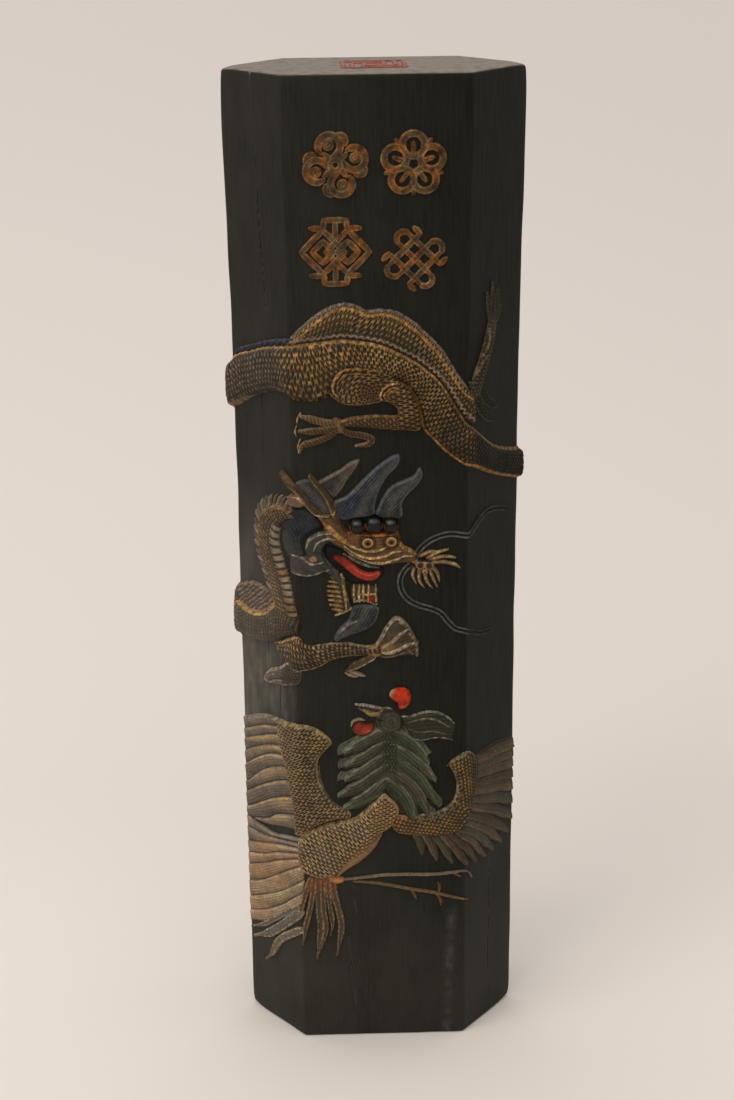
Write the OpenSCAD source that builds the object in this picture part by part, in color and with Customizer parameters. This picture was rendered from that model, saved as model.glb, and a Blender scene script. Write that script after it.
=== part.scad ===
// Moulded ink stick: a tall six-sided block of pressed ink with a dragon and a phoenix in low
// relief round its lower two thirds, four gilt ornaments at the top of the front and a red seal
// on the top face. The front faces -Y, +X is on the viewer's right and the base stands on z = 0.

/* [Block] */
// Height of the block
stick_h = 280; // [220:5:340]
// Width of the flat front and back faces
front_w = 47; // [42:0.5:52]
// Width over the two side corners
stick_w = 79; // [72:0.5:88]
// Depth from the front face to the back face
stick_d = 40; // [34:0.5:46]
// Bevel round the top and the base
rim = 0.8; // [0.4:0.1:1.6]

/* [Relief] */
// Height of the dragon's body above the faces
body_rise = 1.9; // [1.2:0.1:2.4]
// Height of the limbs, neck and wings
limb_rise = 1.4; // [0.8:0.1:2]
// Height of the fine lines: claws, horns, strands and hair
line_rise = 0.8; // [0.4:0.1:1.2]
// Height of the gilt ornaments
emblem_rise = 0.6; // [0.3:0.1:1]
// Height of the seal on the top face
seal_rise = 0.3; // [0.2:0.1:0.6]

/* [Ornaments] */
// Width of each of the four ornaments
emblem_w = 17; // [14:0.5:18]
// Width of one gilt stroke
emblem_line = 1.2; // [0.8:0.1:1.6]
// Side of the square seal
seal_w = 17; // [12:0.5:20]

/* [Hidden] */

// The relief is drawn on the unrolled faces: g runs round the girth from the middle of the front,
// z runs up, and both are in millimetres of a block of this nominal size.
draw_front = 47;
draw_h = 280;
edge_f = 23.5;
edge_s = 49.1;
edge_b = 74.7;
girth_back = 121.7;
girth_left = 147.3;
half_w = front_w / 2;
half_d = stick_d / 2;
CORNERS = [[-girth_back, half_w, half_d], [-edge_b, -half_w, half_d], [-edge_s, -stick_w / 2, 0],
    [-edge_f, -half_w, -half_d], [edge_f, half_w, -half_d], [edge_s, stick_w / 2, 0],
    [edge_b, half_w, half_d], [girth_back, -half_w, half_d], [girth_left, -stick_w / 2, 0],
    [girth_left + 25.6, -half_w, -half_d]];
LAST = len(CORNERS) - 1;

// Cross-sections of a raised line and of a broad raised band: place across it, part of its height
LINE = [[-1, 0], [-0.65, 0.8], [0, 1], [0.65, 0.8], [1, 0]];
BAND = [[0, 0], [0.08, 0.6], [0.25, 0.92], [0.5, 1], [0.75, 0.92], [0.92, 0.6], [1, 0]];

// ---- places on the faces ----

function face_at(g) = max([for (k = [0:LAST - 1]) if (CORNERS[k][0] <= g) k]);
function face_out(k) = let (
    dx = CORNERS[k + 1][1] - CORNERS[k][1],
    dy = CORNERS[k + 1][2] - CORNERS[k][2]) [dy, -dx] / norm([dx, dy]);
function corner_at(g) = [for (k = [1:LAST - 1]) if (abs(CORNERS[k][0] - g) < 0.05) k];
function corner_out(k) = let (a = face_out(k - 1), b = face_out(k)) (a + b) / (1 + a * b);
function outward(g) = len(corner_at(g)) > 0 ? corner_out(corner_at(g)[0]) : face_out(face_at(g));
function girth_xy(g) = let (
    k = face_at(g),
    t = (g - CORNERS[k][0]) / (CORNERS[k + 1][0] - CORNERS[k][0]))
    [for (i = [1, 2]) CORNERS[k][i] + t * (CORNERS[k + 1][i] - CORNERS[k][i])];

// A point of the relief: girth, height on the block, height above the face
function place(p) = let (xy = girth_xy(p[0]) + outward(p[0]) * p[2])
    [xy[0], xy[1], p[1] * stick_h / draw_h];

// ---- solids on the faces ----

// A closed solid through equal rings of relief points
module sweep(rings) {
    m = len(rings[0]);
    n = len(rings);
    sides = [for (i = [0:n - 2], j = [0:m - 1])
        [i * m + j, i * m + (j + 1) % m, (i + 1) * m + (j + 1) % m, (i + 1) * m + j]];
    start = [for (j = [m - 1:-1:0]) j];
    end = [for (j = [0:m - 1]) (n - 1) * m + j];
    polyhedron([for (r = rings, p = r) place(p)], concat(sides, [start], [end]), convexity = 6);
}

// A band along the girth, from rows of girth, lower edge, upper edge and height
module band(rows) {
    sweep([for (r = rows) [for (c = BAND) [r[0], r[1] + c[0] * (r[2] - r[1]), r[3] * c[1]]]]);
}

function heading(path, i) = let (
    a = path[max(i - 1, 0)],
    b = path[min(i + 1, len(path) - 1)],
    d = [b[0] - a[0], b[1] - a[1]]) d / norm(d);
function across(path, i) = let (d = heading(path, i))
    len(corner_at(path[i][0])) > 0 ? [0, 1 / d[0]] : [-d[1], d[0]];

// A band running up the stick, from rows of z, left edge, right edge and height
module upright(rows) {
    sweep([for (r = rows) [for (c = BAND) [r[2] + c[0] * (r[1] - r[2]), r[0], r[3] * c[1]]]]);
}

// A raised line through rows of girth, z and half width
module line(path, rise) {
    sweep([for (i = [0:len(path) - 1]) let (p = path[i], q = across(path, i))
        [for (c = LINE) [p[0] + q[0] * p[2] * c[0], p[1] + q[1] * p[2] * c[0], rise * c[1]]]]);
}

// A raised line of one width that thins to both ends
module hair(points, half, rise) {
    n = len(points) - 1;
    line([for (i = [0:n]) [points[i][0], points[i][1], half * (0.35 + 0.65 * sin(180 * i / n))]], rise);
}

// A raised line that thins towards its tip
module claw(points, half, rise) {
    n = len(points) - 1;
    line([for (i = [0:n]) [points[i][0], points[i][1], half * (1 - 0.75 * i / n)]], rise);
}

function area(p) = let (n = len(p)) [for (i = [0:n - 1])
    p[i][0] * p[(i + 1) % n][1] - p[(i + 1) % n][0] * p[i][1]] * [for (i = [1:n]) 0.5];
function clockwise(p) = area(p) < 0 ? p : [for (i = [len(p) - 1:-1:0]) p[i]];
function unit(v) = v / norm(v);
function inner(p, i, by) = let (
    n = len(p),
    a = unit(p[i] - p[(i + n - 1) % n]),
    b = unit(p[(i + 1) % n] - p[i]),
    m = unit(a + b)) p[i] + by * [m[1], -m[0]];

// A raised patch with bevelled edges, from its outline on one face
module patch(outline, rise, bevel = 0.7) {
    p = clockwise(outline);
    n = len(p);
    low = [for (q = p) [q[0], q[1], 0]];
    mid = [for (q = p) [q[0], q[1], rise * 0.55]];
    top = [for (i = [0:n - 1]) concat(inner(p, i, bevel), rise)];
    walls = [for (k = [0, 1], j = [0:n - 1])
        [k * n + j, k * n + (j + 1) % n, (k + 1) * n + (j + 1) % n, (k + 1) * n + j]];
    foot = [for (j = [n - 1:-1:0]) j];
    roof = [for (j = [0:n - 1]) 2 * n + j];
    polyhedron([for (q = concat(low, mid, top)) place(q)], concat(walls, [foot], [roof]), convexity = 8);
}

// A round boss
module bead(g, z, rx, rz, rise) {
    n = 14;
    rings = [[1, 0], [0.93, 0.5], [0.7, 0.85], [0.35, 1]];
    points = [for (r = rings, i = [0:n - 1])
        place([g + rx * r[0] * sin(360 * i / n), z + rz * r[0] * cos(360 * i / n), rise * r[1]])];
    walls = [for (k = [0:2], j = [0:n - 1])
        [k * n + j, k * n + (j + 1) % n, (k + 1) * n + (j + 1) % n, (k + 1) * n + j]];
    foot = [for (j = [n - 1:-1:0]) j];
    roof = [for (j = [0:n - 1]) 3 * n + j];
    polyhedron(points, concat(walls, [foot], [roof]), convexity = 2);
}

// Feathers or toes side by side: each runs from a root to a tip, spaced evenly between two of them
module fan(root_a, tip_a, root_b, tip_b, count, half, rise, sag = 0) {
    for (i = [0:count - 1]) {
        t = i / (count - 1);
        root = root_a + (root_b - root_a) * t;
        tip = tip_a + (tip_b - tip_a) * t;
        middle = (root + tip) / 2 + [0, sag];
        line([[root[0], root[1], half * 0.75], [middle[0], middle[1], half], [tip[0], tip[1], half * 0.5]],
            rise);
    }
}

// ---- flat shapes of the ornaments, in the plane of the front face ----

// An outline laid on the front face at a place of the drawing
module on_front(g, z, rise) {
    translate([g * front_w / draw_front, -half_d, z * stick_h / draw_h])
        rotate([90, 0, 0])
            linear_extrude(rise)
                children();
}

module ring(r) {
    difference() {
        circle(r + emblem_line / 2, $fn = 40);
        circle(r - emblem_line / 2, $fn = 40);
    }
}

module arc(r, from, to) {
    steps = 8;
    inside = [for (i = [0:steps]) let (a = from + (to - from) * i / steps)
        (r - emblem_line / 2) * [cos(a), sin(a)]];
    outside = [for (i = [steps:-1:0]) let (a = from + (to - from) * i / steps)
        (r + emblem_line / 2) * [cos(a), sin(a)]];
    polygon(concat(inside, outside));
}

module bar(a, b) {
    d = b - a;
    translate((a + b) / 2)
        rotate(atan2(d[1], d[0]))
            square([norm(d) + emblem_line, emblem_line], center = true);
}

module bars(points) {
    for (i = [1:len(points) - 1]) bar(points[i - 1], points[i]);
}

module frame_square(side) {
    difference() {
        square(side + emblem_line, center = true);
        square(side - emblem_line, center = true);
    }
}

// ---- the block ----

module outline_2d(shrink) {
    k = [half_w - shrink * 0.6, stick_w / 2 - shrink * 1.3, half_d - shrink];
    polygon([[-k[0], -k[2]], [k[0], -k[2]], [k[1], 0], [k[0], k[2]], [-k[0], k[2]], [-k[1], 0]]);
}

module ink_body() {
    color("#2b2824") {
        translate([0, 0, rim]) linear_extrude(stick_h - 2 * rim) outline_2d(0);
        for (side = [0, 1])
            translate([0, 0, side * stick_h])
                mirror([0, 0, side])
                    hull() {
                        linear_extrude(0.01) outline_2d(rim);
                        translate([0, 0, rim]) linear_extrude(0.01) outline_2d(0);
                    }
    }
}

// A square seal with a key-fret ornament
module top_seal() {
    half = seal_w / 2;
    pitch = seal_w / 6;
    color("#8d4a3c") translate([0, 0, stick_h]) linear_extrude(seal_rise) {
        frame_square(seal_w - emblem_line);
        for (turn = [0:90:270]) rotate(turn)
            bars([[-half, pitch * 2], [pitch, pitch * 2], [pitch, pitch * 0.9], [-pitch, pitch * 0.9]]);
    }
}

// Four cloud scrolls round a small ring
module cloud_ornament() {
    r = emblem_w / 4;
    color("#b98747") on_front(-10.7, 257.2, emblem_rise) {
        ring(r * 0.32);
        for (turn = [0:90:270]) rotate(turn) {
            translate([r * 1.12, r * 0.36]) arc(r * 0.66, -170, 130);
            translate([r * 1.2, r * 0.42]) ring(r * 0.2);
            rotate(45) bar([r * 0.32, 0], [r * 0.95, 0]);
            translate([r * 0.3, r * 1.45]) arc(r * 0.34, -60, 150);
        }
    }
}

// A blossom of five petals with stamens
module blossom_ornament() {
    r = emblem_w / 4;
    color("#b98747") on_front(9.3, 257.2, emblem_rise) {
        for (k = [0:4]) rotate(90 + 72 * k) {
            translate([r * 1.15, 0]) ring(r * 0.68);
            bar([r * 0.45, 0], [r * 1.25, 0]);
            rotate(36) bar([r * 0.45, 0], [r * 1.75, 0]);
        }
        ring(r * 0.45);
    }
}

// Two linked lozenges over short fret bars
module lozenge_ornament() {
    r = emblem_w / 4;
    color("#b98747") on_front(-11, 234.8, emblem_rise) {
        for (side = [-1, 1], k = [1, 0.5])
            translate([side * r * 0.75, 0]) rotate(45) frame_square(r * 1.9 * k);
        for (side = [-1, 1]) {
            bars([[-r * 1.5, side * r * 1.45], [-r * 0.7, side * r * 1.45], [-r * 0.7, side * r * 1.95],
                [r * 0.7, side * r * 1.95], [r * 0.7, side * r * 1.45], [r * 1.5, side * r * 1.45]]);
            bar([0, side * r * 0.7], [0, side * r * 1.95]);
        }
    }
}

// An endless knot of crossing bands
module knot_ornament() {
    r = emblem_w / 4;
    color("#b98747") on_front(9.5, 232.7, emblem_rise) rotate(45) {
        for (k = [-1, 0, 1]) {
            bar([k * r * 0.85, -r * 1.35], [k * r * 0.85, r * 1.35]);
            bar([-r * 1.35, k * r * 0.85], [r * 1.35, k * r * 0.85]);
        }
        for (turn = [0:90:270]) rotate(turn) {
            translate([r * 0.43, r * 1.35]) arc(r * 0.43, 0, 180);
            bar([-r * 0.85, r * 1.35], [-r * 1.35, r * 1.35]);
        }
    }
}

// ---- the dragon ----

HAUNCH = [[-13.6, 201], [-12, 203.8], [-8.8, 205.4], [-4.8, 205.6], [-0.8, 204.6], [3.2, 202.6],
    [6.4, 199.8], [9.2, 196.6], [10.8, 192.2], [11.2, 188.6], [10.4, 186.4], [5.6, 186.8], [0.8, 187.2],
    [-4, 187.8], [-8.8, 188], [-10.8, 188], [-10.4, 189.6], [-7.2, 190.4], [-2.4, 190.9], [4, 190.7],
    [5, 192], [4, 193.6], [1.6, 194.8], [-0.8, 194.4], [-5.6, 193.8], [-9.6, 194.2], [-12, 195.8],
    [-13.8, 198.2]];

// The thick trunk that runs from the left edge over the front to the right edge
module dragon_trunk() {
    color("#8a7350") difference() {
        band([[-edge_s, 188.4, 201.5, 1.8], [-44, 191, 204.8, body_rise], [-38, 194, 207, body_rise],
            [-31, 196.4, 209, body_rise], [-edge_f, 196, 210.2, body_rise], [-18, 195, 211.2, body_rise],
            [-9, 193.8, 211.6, body_rise], [0, 193.6, 210, body_rise], [5, 193, 207.6, body_rise],
            [9, 192, 205.4, body_rise], [11.5, 188, 203.8, body_rise], [15.2, 183.4, 200.6, body_rise],
            [18.4, 180.2, 196.4, body_rise], [21.6, 177.8, 190.8, body_rise],
            [edge_f, 176.6, 188, body_rise], [28, 174.6, 184.6, body_rise], [34, 172, 180, body_rise],
            [40, 169.6, 177.4, 1.7], [edge_s, 166.4, 175.2, 1.4]]);
        on_front(0, 0, 4) polygon([for (p = HAUNCH) [p[0] * front_w / draw_front, p[1] * stick_h / draw_h]]);
    }
}

// The coil of the back that rises behind the trunk
module dragon_back_coil() {
    color("#7d6a4c") band([[-edge_f, 210.2, 211.6, 0.9], [-21.2, 210.7, 214.2, 1.2],
        [-18.4, 211, 216.6, 1.4], [-15.2, 211.3, 219, 1.5], [-12, 211.5, 220.6, 1.6],
        [-8.8, 211.6, 221.2, 1.6], [-5.6, 211.2, 220.5, 1.6], [-3.2, 210.8, 219.4, 1.6],
        [0, 210, 219.4, 1.6], [4, 208.2, 219, 1.6], [7.2, 206.5, 217.4, 1.6], [10.4, 204.6, 215, 1.6],
        [13.6, 202, 211.8, 1.5], [16.8, 198.7, 208.2, 1.5], [19.2, 195, 204.2, 1.4],
        [21.2, 191.6, 201, 1.3], [edge_f, 188, 197.8, 1.1], [27, 185.3, 190, 0.5]]);
}

// Small fins along the back where it crosses the left side
module dragon_back_spines() {
    color("#3c4552") for (i = [0:8]) {
        g = -44.5 + 2.4 * i;
        z = 204.6 + 0.45 * i - 0.018 * i * i;
        patch([[g, z], [g + 2, z + 0.5], [g + 2.2, z + 2.2], [g + 0.8, z + 1.4]], line_rise, 0.2);
    }
}

// The body carried round the back faces, from the right edge down to the left edge
module dragon_rear_body() {
    color("#7d6a4c") band([[edge_s, 166.4, 175.2, 1.4], [56, 163.6, 173.6, 1.6], [65, 160, 171.4, 1.8],
        [edge_b, 156, 168.6, body_rise], [85, 151, 165, body_rise], [95, 146, 160.4, body_rise],
        [105, 140.5, 155.4, body_rise], [114, 135.4, 150.6, body_rise],
        [girth_back, 131.2, 146.8, body_rise], [130, 126.6, 142.6, 1.8], [139, 123.2, 138.8, 1.7],
        [girth_left, 121.4, 136.2, 1.6]]);
}

// The tail, from the left edge round to the back face, with its tuft
module dragon_tail() {
    color("#7d6a4c") {
        band([[-112, 211.6, 216.6, 1], [-106, 204.5, 212, 1.4], [-100, 199, 207.6, 1.6],
            [-92, 193.4, 203.6, 1.8], [-83, 189.4, 200.8, body_rise], [-edge_b, 187, 199.2, body_rise],
            [-66, 186, 198.6, body_rise], [-57, 186.4, 199.4, body_rise], [-edge_s, 188.4, 201.5, 1.8]]);
        for (k = [0:4])
            claw([[-110, 213.6], [-113 - k * 0.5, 218 + 1.6 * (2 - k)],
                [-117 + 0.4 * k, 222 + 3.2 * (2 - k)]], 1.5, 1);
    }
}

// Thigh and shank of the near hind leg
module dragon_haunch() {
    rise = body_rise + 0.4;
    color("#8f7550") {
        band([[-13.7, 198.4, 201, 0.8], [-12, 196, 203.6, 1.9], [-8.8, 194.2, 205.3, rise],
            [-4.8, 193.9, 205.5, rise], [-0.8, 194.4, 204.6, rise], [2, 194.3, 203, rise],
            [4, 193.2, 202, rise], [5.4, 191, 200.6, rise], [7, 189.2, 199, rise],
            [9, 187.8, 196.6, rise], [10.6, 187.4, 192.6, 1.9], [11.2, 187.6, 190, 1]]);
        band([[-10.9, 188.1, 189.4, 0.9], [-8.8, 188, 190, 1.4], [-4, 187.8, 190.7, 1.7],
            [0.8, 187.2, 190.8, 1.8], [5.6, 186.9, 190.9, 1.9], [8.6, 186.6, 190.4, 1.9],
            [10.6, 186.6, 189, 1.2]]);
    }
}

module dragon_hind_claw() {
    color("#9b8158") {
        claw([[-10.9, 188.9], [-14.5, 189.5], [-18, 191], [-21, 191.8]], 1.1, line_rise);
        claw([[-10.9, 188.4], [-14, 187.8], [-18, 188.4], [-22.2, 188.6]], 1.2, line_rise + 0.2);
        claw([[-10.9, 188], [-14, 186.2], [-18, 185], [-22, 184.8], [-21, 181.4]], 1.2, line_rise);
        claw([[-10.9, 187.6], [-8, 185.7], [-4.8, 185.6], [-2.2, 184.4], [-3.4, 182.8], [-6, 182.4]],
            0.9, line_rise);
    }
}

// The far hind leg, raised on the right side face
module dragon_side_leg() {
    color("#6f5f45") {
        claw([[28.5, 189.5], [29.6, 195], [31, 200.5], [33, 206], [34.4, 212.4]], 2.8, limb_rise);
        for (tip = [[27, 221], [30.6, 223.6], [34.6, 224.6], [38.6, 222.6]])
            claw([[34.2, 211.6], [(tip[0] + 34.6) / 2, 217.6], tip], 1, line_rise);
        fan([31, 197], [36, 190], [34, 204], [40, 203], 3, 0.8, line_rise * 0.7, -0.6);
    }
}

module dragon_neck() {
    color("#8a7350") {
        rise = limb_rise + 0.3;
        upright([[134.4, -31, -24, rise], [137.4, -32.4, -24, rise], [141.2, -33.6, -24.5, rise],
            [145.4, -35.6, -26, rise], [149.6, -37.6, -28, rise], [153.6, -38.3, -29.8, rise],
            [157.6, -38, -29.4, rise], [160.6, -37, -27.4, rise], [163, -34.8, -24.8, rise],
            [164.6, -32, -23.8, 1.4], [165.6, -29.4, -24.6, 0.7]]);
        for (i = [0:9]) {
            turn = 92 + 13 * i;
            root = [-28.6 + 8.8 * cos(turn) + 0.3 * i, 155.2 + 9.4 * sin(turn) - 0.8 * i];
            along = [-sin(turn), cos(turn)];
            patch([root - along * 1.1, root + [2.6 * cos(turn), 2.6 * sin(turn)] + along * 0.9,
                root + along * 1.1], line_rise, 0.25);
        }
    }
}

// The coil that swings in from the left edge and turns up into the neck
module dragon_lower_coil() {
    color("#85704e") {
        band([[-edge_s, 121.4, 136.2, 1.6], [-45, 122, 130.4, 1.7], [-40.4, 122, 129.8, 1.7],
            [-36, 122.8, 131.2, 1.7], [-32.6, 124, 134.2, 1.7], [-30, 125.2, 134.3, 1.6],
            [-27.5, 126.8, 134.3, 1.5], [-24, 128.4, 134.3, 1.3]]);
        band([[-48.6, 131.4, 136.8, 0.9], [-45, 130.8, 138.2, 1], [-40, 130.4, 139.2, 1],
            [-35.6, 132, 138.4, 0.9], [-33, 134.6, 137.4, 0.7]]);
    }
}

module dragon_foreleg() {
    color("#8a7350") {
        band([[-30.3, 121.8, 124.2, 0.9], [-27.5, 119.4, 126, limb_rise], [-edge_f, 118, 127, limb_rise],
            [-20.5, 118, 124.8, limb_rise], [-17, 119, 125, limb_rise], [-13.5, 120.8, 125.6, limb_rise],
            [-9.3, 121.8, 125.7, limb_rise], [-5, 122, 124.9, 1.2], [-0.4, 122.1, 125.2, 1.1]]);
        fan([-28.4, 119.4], [-37.4, 111.4], [-24.6, 118.2], [-31, 110.6], 4, 1.2, line_rise, 0.7);
    }
}

module dragon_fore_claw() {
    color("#9b8158") {
        line([[-0.4, 124.6, 0.8], [1.9, 129.4, 0.9], [5, 132.8, 0.9], [7.6, 131.2, 0.6], [9.4, 128.4, 0.3]],
            line_rise);
        line([[-0.4, 123.8, 0.8], [4, 126.8, 0.9], [7.6, 129.2, 0.8], [9, 127, 0.4]], line_rise);
        line([[-0.4, 122.8, 0.8], [5.4, 122.8, 0.9], [9.6, 125, 0.8], [10, 121.2, 0.3]], line_rise);
        line([[-0.4, 122.4, 0.8], [-5.4, 120.2, 0.9], [-9.2, 117.8, 0.8], [-7.4, 116.6, 0.6],
            [-5.1, 115.9, 0.3]], line_rise);
    }
}

module dragon_head() {
    rise = body_rise + 0.5;
    color("#9c7f4e") {
        patch([[-15.6, 160.2], [-13.4, 161.2], [-9.4, 160.4], [-8.9, 157.6], [-6.5, 156.9], [-1.8, 157.4],
            [2.6, 157.2], [4.7, 157.4], [5.2, 154.6], [7.4, 153], [10, 151.4], [9.8, 150], [5.4, 149.6],
            [0.5, 149], [-3.7, 149.8], [-7.2, 151.8], [-10.4, 153.6], [-14, 154.4], [-15.8, 151.6],
            [-14.2, 148.6], [-10.8, 146], [-9.6, 141.6], [-8.6, 136.8], [-10.2, 136.8], [-11, 141],
            [-12.4, 145], [-16.4, 148.4], [-18.4, 151.6], [-20.2, 154.4], [-18.6, 157], [-16.4, 158.2]],
            rise, 0.5);
        for (k = [0:2])
            hair([[-8.6, 155.2 - 1.5 * k], [-4.5, 153.4 - 1.5 * k], [0, 152.6 - 1.2 * k],
                [4.2, 153.2 - k], [8, 152 - 0.6 * k]], 0.5, rise + 0.4);
        fan([-16, 150.4], [-24.6, 152.4], [-14.4, 148], [-24.4, 146.4], 4, 0.9, limb_rise, -0.8);
        for (g = [10.9, 13.1]) bead(g, 148.7, 1.4, 1.5, rise - 0.4);
        hair([[8.6, 150.4], [9.6, 149.2], [10.9, 148.6]], 1.2, rise - 0.6);
    }
}

module dragon_horns() {
    color("#a08a68") {
        claw([[-13.9, 161.6], [-15.8, 163.2], [-18.4, 165.2], [-20.2, 167.6], [-21.6, 170], [-edge_f, 172.2],
            [-25.8, 173.3], [-27.5, 174.5]], 1.4, limb_rise);
        claw([[-11.2, 161.8], [-12.6, 164.2], [-13.8, 167.4], [-15.2, 170], [-17, 172.2], [-18.9, 174.2]],
            1.3, limb_rise);
        bead(-21.7, 168.1, 1.2, 1.4, line_rise);
    }
}

module dragon_brow_beads() {
    color("#2c2f35") {
        bead(-6.5, 159.5, 2.1, 2.1, body_rise + 0.8);
        bead(-1.8, 160, 2.3, 2.3, body_rise + 0.8);
        bead(2.7, 159.6, 2, 2.1, body_rise + 0.8);
    }
}

module dragon_eyes() {
    color("#b08b52") for (eye = [[-3.5, 155.6], [3, 155.8]])
        difference() {
            bead(eye[0], eye[1], 1.5, 1.4, body_rise + 0.9);
            on_front(eye[0], eye[1], 4) circle(0.45, $fn = 20);
        }
}

module dragon_tongue() {
    color("#8a3b2a") line([[-12.2, 151, 0.7], [-10, 149.6, 1.1], [-7.2, 147.7, 1.3], [-5.1, 146.1, 1.3],
        [-2.5, 145.4, 1.2], [-0.6, 146.2, 0.7]], limb_rise);
}

module dragon_teeth() {
    color("#a88a55") {
        for (g = [-7:1.5:-1]) line([[g, 141.8, 0.45], [g, 139.6, 0.6]], line_rise);
        patch([[-7.6, 139.8], [-1, 139.8], [-1, 136.8], [-4, 137.6], [-7.6, 136.8]], line_rise, 0.3);
    }
}

// Comb of spikes behind the jaw
module dragon_jaw_frill() {
    color("#a88a55") for (i = [0:7])
        claw([[-11.6, 145.4 - 1.35 * i], [-13, 145.6 - 1.35 * i], [-14.4, 145.3 - 1.35 * i]], 0.62,
            line_rise);
}

// Flames of the mane: three behind the brow, one between the horns and the mat on the nape
module dragon_mane() {
    color("#565c66") {
        patch([[-13.2, 168.4], [-14.8, 171], [-15.8, 172.8], [-12.8, 175], [-10, 176.5], [-6.5, 178],
            [-6.6, 176], [-8.6, 173.2], [-10.7, 170.4]], limb_rise, 0.5);
        patch([[-11.4, 164.4], [-12.2, 166.9], [-8.6, 169], [-5.8, 171.8], [-3, 174.6], [-0.2, 177.4],
            [4, 179.6], [5.7, 179], [4.7, 177], [1.9, 173.9], [-0.4, 169.7], [-1.6, 165.5],
            [-2.4, 163], [-6, 162.2], [-9.6, 162.4]], limb_rise, 0.5);
        patch([[0, 163], [0.4, 165.6], [1.2, 168], [2.6, 170.4], [6.1, 172.5], [9.4, 174.2], [10.3, 175.6],
            [11.3, 173.2], [10.3, 171.5], [7.5, 169], [5.4, 166.2], [4.6, 162.6], [2.4, 162.2]],
            limb_rise, 0.5);
        patch([[-21, 171.8], [-18.4, 171], [-16, 168.6], [-14.8, 165.6], [-14.4, 163.6], [-17, 165.6],
            [-18.9, 168.2]], line_rise, 0.4);
        patch([[-23.3, 163], [-21.9, 164.6], [-19.6, 163.6], [-17.4, 161.6], [-16, 160.4], [-18.4, 158.6],
            [-20.8, 155.6], [-21.4, 152.4], [-23.3, 152.6]], line_rise, 0.4);
        patch([[-23.7, 152.6], [-23.7, 163], [-26.4, 160.4], [-28.4, 157], [-28.9, 153.8], [-26.4, 150.6]],
            line_rise, 0.4);
    }
}

module dragon_beard() {
    color("#565c66") patch([[-7.2, 136.3], [-0.5, 136.3], [-0.6, 133.8], [-2, 131.2], [-5.1, 129.6],
        [-8.6, 128.2], [-12.1, 126.6], [-12.8, 128.2], [-11.4, 130.5], [-8.8, 133.2]], limb_rise, 0.5);
}

module dragon_whiskers() {
    color("#6a675f") {
        line([[9.7, 151.8, 0.5], [11, 153.6, 0.5], [13.8, 155.8, 0.5], [18, 157.1, 0.5], [21, 157, 0.5],
            [edge_f, 156.6, 0.5], [27, 158, 0.5], [30.6, 160, 0.5], [34.8, 161, 0.5], [40.4, 160, 0.4],
            [46, 157.8, 0.2]], line_rise * 0.6);
        line([[8.2, 149.2, 0.5], [6.2, 146.6, 0.5], [5.7, 143.1, 0.5], [6.8, 139.6, 0.5], [9.6, 137.1, 0.5],
            [13.8, 135.4, 0.5], [17.3, 133.2, 0.5], [19.4, 130.5, 0.5], [21.4, 128.9, 0.5],
            [edge_f, 128.2, 0.5], [27, 127, 0.5], [30.6, 125.7, 0.4], [36.2, 125, 0.2]], line_rise * 0.6);
    }
}

module dragon_nose_tuft() {
    color("#a08a60") {
        fan([14.6, 150], [18.6, 152.8], [14.8, 147.8], [21.4, 147.2], 4, 0.55, line_rise, 0.2);
        fan([9.8, 147], [11, 142.6], [13.4, 147], [15.6, 141], 4, 0.6, line_rise, 0);
    }
}

// ---- the phoenix ----

module phoenix_comb() {
    color("#a3412a") bead(5, 108.8, 3.2, 3, body_rise);
}

module phoenix_wattle() {
    color("#a3412a") bead(-5.4, 99.7, 3, 2.4, limb_rise);
}

module phoenix_head() {
    color("#5f5a4b") {
        bead(2, 102.4, 3.4, 3.3, body_rise);
        line([[1, 104.6, 0.9], [-0.6, 105.4, 0.9], [-3.7, 106.6, 0.6], [-7.2, 107.2, 0.2]], line_rise);
        line([[0, 104, 0.8], [-1.6, 103.8, 0.7], [-4.4, 104.9, 0.2]], line_rise);
    }
}

module phoenix_crest() {
    color("#6b6750") patch([[5.6, 102.6], [7.6, 103.2], [11, 103.9], [15.2, 104.3], [18, 103], [20.1, 100.8],
        [19, 95.2], [15.2, 96], [11, 95], [8.2, 96.8], [6.4, 99.8]], limb_rise, 0.6);
}

// Layers of long leaf-shaped feathers falling from the neck
module phoenix_hackle() {
    color("#5d6650") {
        patch([[0.4, 98.8], [-3.5, 95.8], [-7.4, 92], [-9.6, 88.4], [-9, 85], [-11.4, 79.6], [-10.1, 76],
            [-6, 76.6], [-2.6, 79.4], [0.2, 80.2], [3.4, 76], [7.4, 73.2], [11, 74], [13.6, 77],
            [14.8, 82], [14.4, 86.2], [10.6, 90.4], [6.4, 94.6], [4.6, 98.4]], limb_rise, 0.9);
        for (k = [0:3]) {
            claw([[0.2, 95.4 - 4 * k], [-3.4, 91.6 - 4 * k], [-7.4 + 0.2 * k, 87.2 - 3.6 * k]], 1.3,
                limb_rise + 0.5);
            claw([[3.6, 94.6 - 4 * k], [7, 90.4 - 3.8 * k], [11 - 0.4 * k, 86.4 - 3.6 * k]], 1.3,
                limb_rise + 0.5);
        }
    }
}

module phoenix_body() {
    color("#8a7350") {
        patch([[-23.3, 65.6], [-19.4, 68.6], [-14.6, 70.2], [-7.6, 71.5], [-4.6, 73.4], [-2.2, 75.6],
            [-0.4, 74.8], [0.6, 70.9], [-0.6, 66.7], [-3.9, 62.4], [-9.4, 57.8], [-13.4, 54],
            [-17.3, 52.8], [-21.5, 54.2], [-23.3, 57]], body_rise, 0.9);
        line([[-0.9, 66.2, 0.9], [-4.2, 61.2, 1.1], [-9, 56.8, 1.2], [-13, 53.2, 0.9]], limb_rise * 0.8);
        bead(-13.5, 52.2, 1.4, 1.3, line_rise);
    }
}

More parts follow.
